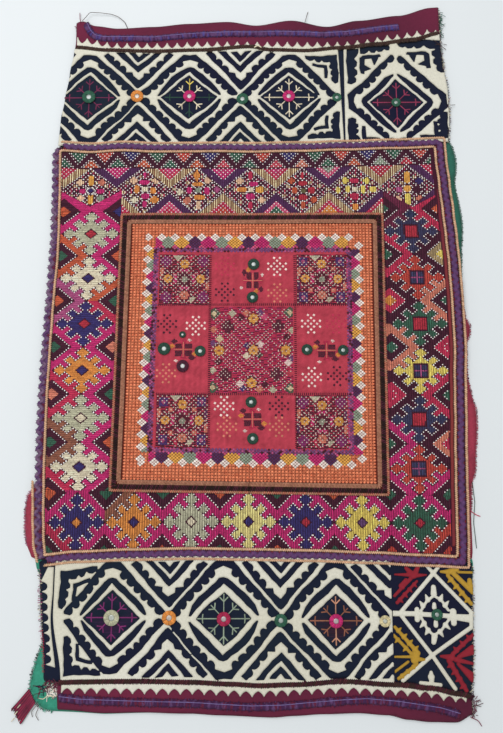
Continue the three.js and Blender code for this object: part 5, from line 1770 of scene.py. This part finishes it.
def dense_stitches():
    threads, knots = Threads(), Dots()
    for x, y, framed in CORNER_PATCHES:
        corner_stitches(threads, knots, x, y, framed)
    middle_stitches(threads, knots)
    for x, y, turned_over in BOW_TIES:
        fill_patch(threads, x, y, 16, 16, None, BOW_SHAPES, turned_over)
        for ahead in (np.array([10, 0]), np.array([0, 8])):
            threads.add([x, y] - ahead, [x, y] + ahead, 0.7, 0.4, PATCH_DOT_LEVEL, colour("salmon"))
    for x, y, name in CHECKS:
        places = np.array([x, y]) + np.array(CHECK_CELLS) * CHECK_PITCH
        knots.add(places, CHECK_PITCH, 0.6, STITCH_LEVEL, colour(name))
    seam_ticks(threads)
    build_stitches("stitches_patches", threads, knots)


def centre_shade(x, y, depth):
    """Streaked rose under the nine-patch and dark brick under the border, partly the ground's colour and
    partly painted shade for the gaps between the cross stitches.
    """
    streak = 0.92 + 0.07 * np.sin(x * 0.9 + 2 * np.sin(x * 0.21)) + 0.05 * np.sin(y * 0.3 + x * 0.05)
    streak = streak + 0.07 * rng.standard_normal(x.shape)
    rose = colour("rose") * streak[:, None]
    # Under the border: the ground's colour darkened as painted shade in the gaps between stitches
    return np.where(within(x, y, ROSE_LIMITS)[:, None], rose, colour("border ground and gap shade"))


def make_centre():
    border_stitches()
    dense_stitches()
    cloth("cloth_centre", [CENTRE], CENTRE_STEP, "embroidered", centre_shade, "orange_cloth", "centre_panel")


# Trims

def three_sides(offset, top_start, bottom_start):
    top = seam("top_braid", offset)
    right = side("right_braid", offset * RIGHT_SIDE_STRETCH)
    bottom = seam("bottom_braid", -offset)
    upper, lower = corner_of(top, right), corner_of(bottom, right)
    return np.vstack([
        along_seam(top, top_start, upper[0]), along_side(right, upper[1], lower[1])[1:],
        along_seam(bottom, lower[0], bottom_start)[1:],
    ])


def inner_route(offset):
    top, bottom = seam("top_braid", -offset), seam("bottom_braid", offset)
    right, left = side("right_braid", -offset * RIGHT_SIDE_STRETCH), side("left_cord")
    loop = panel_outline(top, bottom, left, right)
    return np.vstack([loop, loop[:1]])


def braid(name, parts, node, kind="cord"):
    """One trim made of layers, each a maker, its points and its options."""
    bundle = Bundle()
    for maker, points, options in parts:
        maker(bundle, points, **options)
    build(name, bundle, kind, [node])


def smooth_route(route):
    return rounded(route, 1.2, 3.0)


def make_tan_cords():
    # The darker core of the cord is painted shade between its strands
    tan = dict(half=1.1, level=TRIM_LEVEL, height=1.7, names=["tan"], dark="tan dark")
    short = along_side(side("left_outer_cord"), -227, -150)
    routes = {
        "outer": [three_sides(TAN_CORD_OFFSET, -206, -203), short],
        "inner": [inner_route(TAN_CORD_OFFSET)],
    }
    for name, parts in routes.items():
        layers = [(twisted_cord, smooth_route(route), tan) for route in parts]
        braid("tan_cord_" + name, layers, "square_cord_" + name)


def make_square_rickracks():
    route = smooth_route(three_sides(0, -204, -201))
    wave = waved(route, 1.2, 7.8)
    purples = ["purple", "purple", "purple", "purple", "purple line"]
    ground = dict(half=3.6, level=TRIM_LEVEL - 0.6, height=0.7, names=["wine", "leaf red"], columns=4)
    layers = [
        (ribbon, route, ground),
        (ribbon, wave, dict(half=2.4, level=TRIM_LEVEL, height=1.1, names=purples, run=1)),
        (fuzz, wave, dict(half=2.2, level=TRIM_LEVEL + 0.1, names=purples, length=1.2)),
    ]
    braid("purple_braid", layers, "square_rickrack", "braid")
    left = smooth_route(along_side(side("left_braid", SCALLOP_SHIFT), 206, -224))
    lobes = waved(left, 2.0, SCALLOP_PITCH)
    greys = ["purple grey", "purple grey", "purple"]
    ground = dict(half=2.2, level=TRIM_LEVEL - 0.6, height=0.6, names=["purple", "wine"])
    layers = [
        (ribbon, left + [2.6, 0], ground),
        (ribbon, lobes, dict(half=1.7, level=TRIM_LEVEL - 0.4, height=1.3, names=greys, run=2)),
        (fuzz, lobes, dict(half=1.8, level=TRIM_LEVEL - 0.2, names=greys, length=1.0)),
    ]
    braid("purple_scallops", layers, "left_rickrack", "braid")


def make_red_strip():
    """A strip inside the right-hand cord that narrows to nothing at its upper end."""
    edge = side("right_braid", -(TAN_CORD_OFFSET + 1.3) * RIGHT_SIDE_STRETCH)
    near, far = along_side(edge, -213, 178), along_side(edge, 178, -213)
    far[:, 0] -= np.clip((180 - far[:, 1]) / 14, 0.3, 3.4)
    shade = plain("brick", "wine", edge=0.8)
    cloth("red_edge", [np.vstack([near, far])], RED_STRIP_STEP, "red_strip", shade, "red_cloth", "red_strip")


def make_end_cords():
    ends = [
        ("top", -195, 208, ["cord grey", "cord brown", "cord grey"]),
        ("bottom", -184, 211, ["cord red", "cord brown", "dark maroon"]),
    ]
    for end, x0, x1, names in ends:
        # Its darker core is painted shade between the strands
        dark = dict(half=2.2, level=TRIM_LEVEL - 0.4, height=1.6, names=names, dark="dark brown")
        loose = dict(half=2.0, level=TRIM_LEVEL - 0.3, names=names, length=1.2)
        route = smooth_route(along_seam(seam(end + "_cord"), x0, x1))
        layers = [(twisted_cord, route, dark), (fuzz, route, loose)]
        braid("dark_cord_" + end, layers, "end_cord_" + end)


def make_end_rickracks():
    ends = [
        ("top", TOP_RICKRACK, ["purple dark", "purple", "purple", "purple", "purple blue"]),
        ("bottom", BOTTOM_RICKRACK, ["purple dark", "purple dark", "purple", "wine"]),
    ]
    # A thin pale line along one side of each rickrack: painted highlight
    highlight_stripe = dict(half=0.35, level=TRIM_LEVEL, height=0.35, columns=4, names=["purple highlight"])
    for end, route, purples in ends:
        middle = smooth_route(route)
        wave = waved(middle, 0.5, 8.0)
        line = middle + normals_of(middle)[1] * math.copysign(1.4, middle[-1, 0])
        layers = [
            (ribbon, wave, dict(half=3.2, level=TRIM_LEVEL - 0.9, height=1.1, names=purples, run=1)),
            (fuzz, wave, dict(half=3.0, level=TRIM_LEVEL - 0.8, names=purples, length=1.8)),
            (ribbon, line, highlight_stripe),
        ]
        braid("purple_rickrack_" + end, layers, "rickrack_" + end, "braid")


def make_centre_trims():
    # Columns: name, node, inset, slot, half width, height, colours, core colour (painted shade between the
    # strands), pitch
    rows = [
        ("edge_terracotta", "centre_edge", 0.4, "terracotta_braid", 1.1, 1.3, ["tan brown", "salmon"],
         "brown", 1.9),
        ("braid_dark", "centre_braid", 4.0, "dark_braid", 2.4, 1.1, ["dark brown", "cord red"], "black", 1.7),
        ("cord_brown", "centre_cord", 8.7, "brown_cord", 2.2, 1.2, ["tan brown"], "brown", 1.4),
    ]
    inward = np.array([(1, 1), (-1, 1), (-1, -1), (1, -1)])
    for name, node, inset, slot, half, height, names, dark, pitch in rows:
        loop = CENTRE + inward * inset
        start = (loop[0] + loop[1]) / 2
        route = rounded(np.vstack([start, loop[1], loop[2], loop[3], loop[0], start]), 1.2, 1.5)
        options = dict(half=half, level=TRIM_LEVEL, height=height, names=names, dark=dark, pitch=pitch)
        braid(name, [(twisted_cord, route, options)], node)


# Mirrors: node, place, ring radius, ring colour, which also tints the glass as a painted reflection
MIRRORS = [
    ("mirror_top_1", -179, 267, 7.2, "green"), ("mirror_top_2", -68.5, 268.5, 6.6, "magenta"),
    ("mirror_top_3", 41, 268, 6.6, "magenta"), ("mirror_top_4", 159, 261, 5.0, "green"),
    ("mirror_top_join_1", -126, 268, 6.8, "orange"), ("mirror_top_join_2", -10, 265, 6.4, "green"),
    ("mirror_top_join_3", 94, 267, 5.0, "green"), ("mirror_bottom_1", -136, -280, 7.4, "sage"),
    ("mirror_bottom_2", -27, -281, 6.6, "deep pink"), ("mirror_bottom_3", 82, -283, 6.6, "magenta"),
    ("mirror_bottom_4", 180, -277, 5.4, "green"), ("mirror_bottom_join_1", -80, -280, 6.8, "orange"),
    ("mirror_bottom_join_2", 28.5, -282.5, 6.2, "green"),
    ("mirror_bottom_join_3", 129.5, -283, 5.4, "straw"),
    ("mirror_patch_top_1", 2.2, 76.1, 6.0, "deep green"),
    ("mirror_patch_top_2", 1, 40.1, 5.8, "deep green"),
    ("mirror_patch_left_1", -90.4, -14.5, 6.4, "deep green"),
    ("mirror_patch_left_2", -53.1, -17, 5.6, "deep green"),
    ("mirror_patch_left_3", -70.9, -32.6, 6.2, "dark maroon"),
    ("mirror_patch_left_4", -71.6, 0.5, 3.4, "deep green"),
    ("mirror_patch_right_1", 57.3, -15.5, 5.6, "deep green"),
    ("mirror_patch_right_2", 94.7, -16.1, 5.4, "deep green"),
    ("mirror_patch_bottom_1", -0.4, -69.9, 5.6, "deep green"),
    ("mirror_patch_bottom_2", 1.2, -107, 5.6, "deep green"),
]


def lathe(bundle, x, y, low, profile, sides, tone):
    """A round form turned from a profile of radius and height over a level, closed at its middle."""
    rings = [np.column_stack([ring_of(x, y, radius, sides), np.full(sides, low + height)])
             for radius, height in profile]
    faces = []
    for k in range(len(profile) - 1):
        here, there = k * sides + np.arange(sides), k * sides + (np.arange(sides) + 1) % sides
        faces.append(np.column_stack([here, there, there + sides, here + sides]))
    bundle.add(np.vstack(rings), [np.vstack(faces)], tone)


def make_mirrors():
    glass, rings, threads = Bundle(), Bundle(), Threads()
    low = TRIM_LEVEL - 0.1
    for node, x, y, r, tone in MIRRORS:
        hole, count = r * 0.42, int(r * 4.2)
        ring = [(0.01, 0), (r, 0), (r, 0.6), (r * 0.72, 1.2), (hole, 0.7), (hole, 0.2), (0.01, 0.2)]
        disc = [(hole * 1.05, 0.3), (hole * 1.05, 0.45), (hole * 0.6, 0.6), (0.01, 0.66)]
        # The ring's body is a darker copy of its thread: painted shade between the radial stitches
        lathe(rings, x, y, low, ring, 20, colour(tone) * 0.6)
        # The glass takes in some of the ring's colour: painted reflection of the ring's thread
        lathe(glass, x, y, low, disc, 16, colour("glass") * 0.75 + colour(tone) * 0.35)
        inner, outer = ring_of(x, y, hole * 0.95, count), ring_of(x, y, r * 1.02, count)
        threads.add(inner, outer, 1.3, 0.75, low + 0.75, colour(tone), 0.16)
    threads.into(rings)
    build("mirror_rings", rings, "thread", [row[0] for row in MIRRORS])
    build("mirror_discs", glass, "glass")


# Thread snowflakes in the dark diamonds. Columns: middle, reach upwards, downwards, across and on the slant,
# colours of the arm up, the arm down, the arms across and the slanted ones, colour of the ground if stitched.
SNOWFLAKES = [
    (-179, 267, 22.5, 23.5, 27.5, 17, "thread plum, thread plum, thread plum, thread plum", "night red"),
    (-68.5, 268, 22.5, 23.5, 27.5, 17, "yellow, deep green, deep green, bone", None),
    (41.5, 267.5, 22.5, 23.5, 27.5, 17, "bone, bone, bone, bone", None),
    (160, 262, 23.5, 27, 26.5, 18, "thread maroon, thread maroon, thread maroon, thread maroon", "night red"),
    (-136, -280, 22.5, 22.5, 25, 17, "violet, violet, violet, violet", "night plum"),
    (-27, -281, 23.5, 24, 26, 18, "grey green, grey green, grey green, grey green", None),
    (82, -283, 23, 23, 25.5, 17, "tan brown, tan brown, brown, brown", "night red"),
]
# Prongs of the arms across, slanted and upright: start and end as shares of the reach, and length
PRONGS = [(0.8, 0.78, 4.4), (0.7, 0.92, 4.6), (0.68, 0.86, 4.2), (0.7, 0.92, 4.6)]
SNOWFLAKE_LEVEL = GROUND_LEVEL + GROUND_THICK - 0.1


def snowflake_ground(threads, x, y, up, down, across, name):
    """Flat stitches that fill the diamond behind a snowflake."""
    for line in np.arange(2 - down, up - 2, 1.3):
        half = across * (1 - abs(line) / (up if line > 0 else down))
        start, end = (x - half, y + line), (x + half, y + line)
        threads.add(start, end, 1.2, 0.25, SNOWFLAKE_LEVEL - 0.1, colour(name))


def make_snowflakes():
    threads, bundle = Threads(), Bundle()
    for x, y, up, down, across, slant, names, ground in SNOWFLAKES:
        if ground:
            snowflake_ground(threads, x, y, up, down, across, ground)
        tones = [colour(name) for name in names.split(", ")]
        reaches = [across, slant, up, slant, across, slant, down, slant]
        picks = [2, 3, 0, 3, 2, 3, 1, 3]
        middle = np.array([x, y])
        for k in range(8):
            angle = math.pi / 4 * k
            ahead = np.array([math.cos(angle), math.sin(angle)])
            beside = np.array([-ahead[1], ahead[0]])
            reach, tone = reaches[k], tones[picks[k]]
            threads.add(middle + ahead * 4, middle + ahead * reach, 1.4, 0.6, SNOWFLAKE_LEVEL, tone)
            start, end, size = PRONGS[k % 4]
            for way in (1, -1):
                tip = middle + ahead * reach * end + beside * way * size
                threads.add(middle + ahead * reach * start, tip, 1.3, 0.55, SNOWFLAKE_LEVEL + 0.1, tone)
    threads.into(bundle)
    build("snowflake_threads", bundle, "thread")


# Loose threads. Columns: colour, radius, heights at its two ends, then the places along it
LOOSE_THREADS = [
    ("cord brown", 0.35, 3, 0.2, [(-190, 360), (-182, 371), (-170, 371), (-158, 370), (-150, 367),
                                  (-143, 361), (-139.5, 353)]),
    ("maroon", 0.4, 3, 0.2, [(-192, 358), (-193.5, 366), (-194, 372)]),
    ("cord grey", 0.3, 3, 0.2, [(60, 358), (62, 367), (64, 374)]),
    ("cord brown", 0.35, 4, 0.2, [(203, 336), (211, 331), (218, 327)]),
    ("cord brown", 0.3, 4, 0.2, [(205, 330), (213, 333), (219, 333)]),
    ("bone", 0.7, 5, 5, [(3, 326), (7, 328.5), (11, 326)]),
    ("crimson", 0.4, 0.6, 0.2, [(219, -179), (225, -183), (228.5, -184)]),
    ("deep green", 0.35, 0.6, 0.2, [(222, -150), (223.5, -170), (221.5, -190), (223, -215)]),
    ("bone", 0.35, 3, 0.2, [(-188, -352), (-195, -351), (-199, -355), (-204, -354)]),
    ("cord grey", 0.3, 2, 0.2, [(-205, -360), (-210, -366), (-209, -371)]),
    ("cord grey", 0.3, 2, 0.2, [(-203, -362), (-206, -369), (-203, -374)]),
    ("maroon", 0.4, 2, 0.2, [(208, -370), (216, -374), (219, -379)]),
]
# Tufts of frayed threads. Columns: middle, half width, half height, count, reach, level, colours
TUFTS = [
    (-191, -342, 7, 2.5, 60, 4, 2.4, ["maroon", "cord red", "dark maroon"]),
    (-190, -347, 6, 5, 170, 3.4, 1.6, ["bone", "cream", "white", "cream", "purple grey"]),
    (-202, -346, 2, 5, 24, 6, 1.4, ["maroon", "navy", "dark maroon"]),
    (214, 252, 2.5, 10, 40, 5, 1.6, ["brown", "bone", "cord brown"]),
    (212, 355, 2, 18, 60, 5, 1.0, ["deep green", "green", "dark green lining"]),
    (212, -362, 3, 8, 40, 5, 1.4, ["maroon", "cord red", "cord grey"]),
    (-195, 352, 2, 6, 20, 4, 1.4, ["maroon", "dark maroon"]),
]
# Frayed cloth edges. Columns: piece, slot, colours, length, places along the edge
FRAYED_EDGES = [
    ("frayed_green_right", "green_lining", ["deep green", "dark green lining", "green"], 1.4,
     LINING_TOP[1:13]),
    ("frayed_rose_right", "rose_lining", ["rose lining", "rose lining", "wine"], 1.3, LINING_MIDDLE[2:20]),
    ("frayed_rose_left", "rose_lining", ["rose lining", "cord red", "mauve"], 1.8, LINING_MIDDLE[22:28]),
    ("frayed_green_left", "green_lining", ["green lining", "deep green"], 2.4,
     LINING_BOTTOM[20:] + LINING_BOTTOM[:5]),
]
FRAY_LEVEL = 0.3
# Raw edges of the end panels. Columns: side, first and last height, half width, rise, length, pitch, colours
RAW_EDGES = [
    ("right_top", 215, 376, 0.4, 0.4, 2.0, 1.4, ["bone", "cord brown", "cord red", "deep green"]),
    ("right_bottom", -372, -232, 0.4, 0.4, 2.0, 1.4, ["bone", "cord brown", "cord red", "deep green"]),
    ("left_bottom", -330, -292, 0.5, 1, 1.2, 1.6, ["crimson", "rose lining"]),
    ("left_bottom", -292, -235, 0.5, 0.6, 2.4, 1.6, ["cord grey", "bone", "mauve"]),
]
# The torn strip at the lower left: its root, the two ends of its torn edge, how far each lock falls short,
# the depth of its slits and the number of its threads
STRIP_ROOT = [(-206.6, -358.3), (-211.2, -352.5), (-213.4, -345.6)]
STRIP_TIPS = np.array([(-230.0, -364.5), (-220.0, -378.0)])
STRIP_LOCKS = [0, 2.2, 4.0, 1.0, 0.4, 2.4, 3.0, 0]
STRIP_SLIT = 5.0
STRIP_THREADS = 44


def make_frays():
    loose, threads = Bundle(), Threads()
    for name, radius, start, end, places in LOOSE_THREADS:
        route = rounded(places, 0.8, 3.0)
        heights = np.linspace(start, end, len(route))
        strand(loose, np.column_stack([route, heights]), radius, colour(name))
    for x, y, wide, tall, count, reach, level, names in TUFTS:
        starts = np.array([x, y]) + rng.uniform(-1, 1, (count, 2)) * [wide, tall]
        ends = starts + rng.normal(0, 0.6, (count, 2)) * reach
        threads.add(starts, ends, 0.6, FIBRE_HEIGHT, level, mottled(names, count, 1))
    for edge, first, last, half, rise, length, pitch, names in RAW_EDGES:
        fuzz(loose, along_side(side(edge), first, last), half, GROUND_LEVEL + rise, names, length, pitch)
    threads.into(loose)
    build("loose_threads", loose, "thread")
    for name, slot, names, length, places in FRAYED_EDGES:
        bundle = Bundle()
        fuzz(bundle, resample(places, 2), 0.5, FRAY_LEVEL, names, length, 0.9)
        build(name, bundle, "thread")


def strip_outline(root, inward):
    """The torn strip: its root, then ragged locks with slits between them."""
    edge = []
    for k, back in enumerate(STRIP_LOCKS):
        for share, short in ((0.2, back), (0.8, back), (1.0, STRIP_SLIT)):
            place = STRIP_TIPS[0] + (STRIP_TIPS[1] - STRIP_TIPS[0]) * (k + share) / len(STRIP_LOCKS)
            edge.append(place + inward * short)
    return np.vstack([root, edge[:-1]])


def make_torn_strip():
    """The torn maroon strip: a folded ribbon with ragged locks and lengthwise threads, with three pale
    strokes as painted highlights.
    """
    root = np.array(STRIP_ROOT)
    inward = root[[0, -1]].mean(axis=0) - STRIP_TIPS.mean(axis=0)
    inward /= np.hypot(*inward)
    cloth("torn_strip", [strip_outline(root, inward)], TORN_STRIP_STEP, "torn_strip",
          plain("maroon", "dark maroon", 0.2, 0.6), "maroon_cloth", "frayed_strip")
    bundle, threads = Bundle(), Threads()
    names = ("maroon", "cord red", "dark maroon", "maroon", "crimson", "maroon")
    for k in range(STRIP_THREADS):
        share = (k + 0.5) / STRIP_THREADS
        start = root[-1] + (root[0] - root[-1]) * share
        end = STRIP_TIPS[0] + (STRIP_TIPS[1] - STRIP_TIPS[0]) * share + inward * rng.uniform(0, 5)
        middle = (start + end) / 2 + rng.normal(0, 0.5, 2)
        tone = colour(names[k % len(names)])
        for a, b in ((start, middle), (middle, end)):
            threads.add(a, b, FIBRE_WIDTH, STITCH_HEIGHT, 1.3, tone)
    # Three pale strokes across the strip: painted highlights on its folds
    for x, y in ((-222, -361), (-224.5, -367), (-227, -373)):
        threads.add((x - 1.4, y - 1.6), (x + 1.4, y + 1.6), 0.8, 0.3, 1.8, colour("bone"))
    threads.into(bundle)
    build("torn_strip_threads", bundle, "thread")


# Light, camera and floor

def make_camera():
    camera = put_in_scene("camera", bpy.data.cameras.new("camera"))
    camera.data.lens = CAMERA_LENS
    camera.location = CAMERA_PLACE
    camera.rotation_euler = (CAMERA_TILT, 0, 0)
    bpy.context.scene.camera = camera
    bpy.context.scene.view_settings.view_transform = "Standard"


def make_light():
    world = bpy.data.worlds.new("studio")
    world.use_nodes = True
    set_inputs(world.node_tree.nodes["Background"], {"Color": (0.96, 0.99, 1.0, 1), "Strength": 0.55})
    bpy.context.scene.world = world
    lamp = bpy.data.lights.new("softbox", "AREA")
    lamp.shape = "RECTANGLE"
    lamp.size, lamp.size_y = 1.4, 1.4
    lamp.energy = 16
    softbox = put_in_scene("softbox", lamp)
    softbox.location = (-0.5, 0.45, 1.5)
    softbox.rotation_euler = (-0.28, -0.31, 0)


def make_floor():
    mesh = bpy.data.meshes.new("floor")
    mesh.from_pydata([(-3, -3, 0), (3, -3, 0), (3, 3, 0), (-3, 3, 0)], [], [(0, 1, 2, 3)])
    floor = put_in_scene("floor", mesh)
    board, nodes, links, shader = new_material("board")
    set_inputs(shader, {"Base Color": (*colour("board"), 1), "Roughness": 0.8})
    mesh.materials.append(board)


def make_studio():
    make_camera()
    make_light()
    make_floor()


make_studio()
make_linings()
make_end_cloths()
make_cutwork()
make_leaves()
make_bands()
make_centre()
make_tan_cords()
make_square_rickracks()
make_red_strip()
make_end_cords()
make_end_rickracks()
make_centre_trims()
make_mirrors()
make_snowflakes()
make_frays()
make_torn_strip()
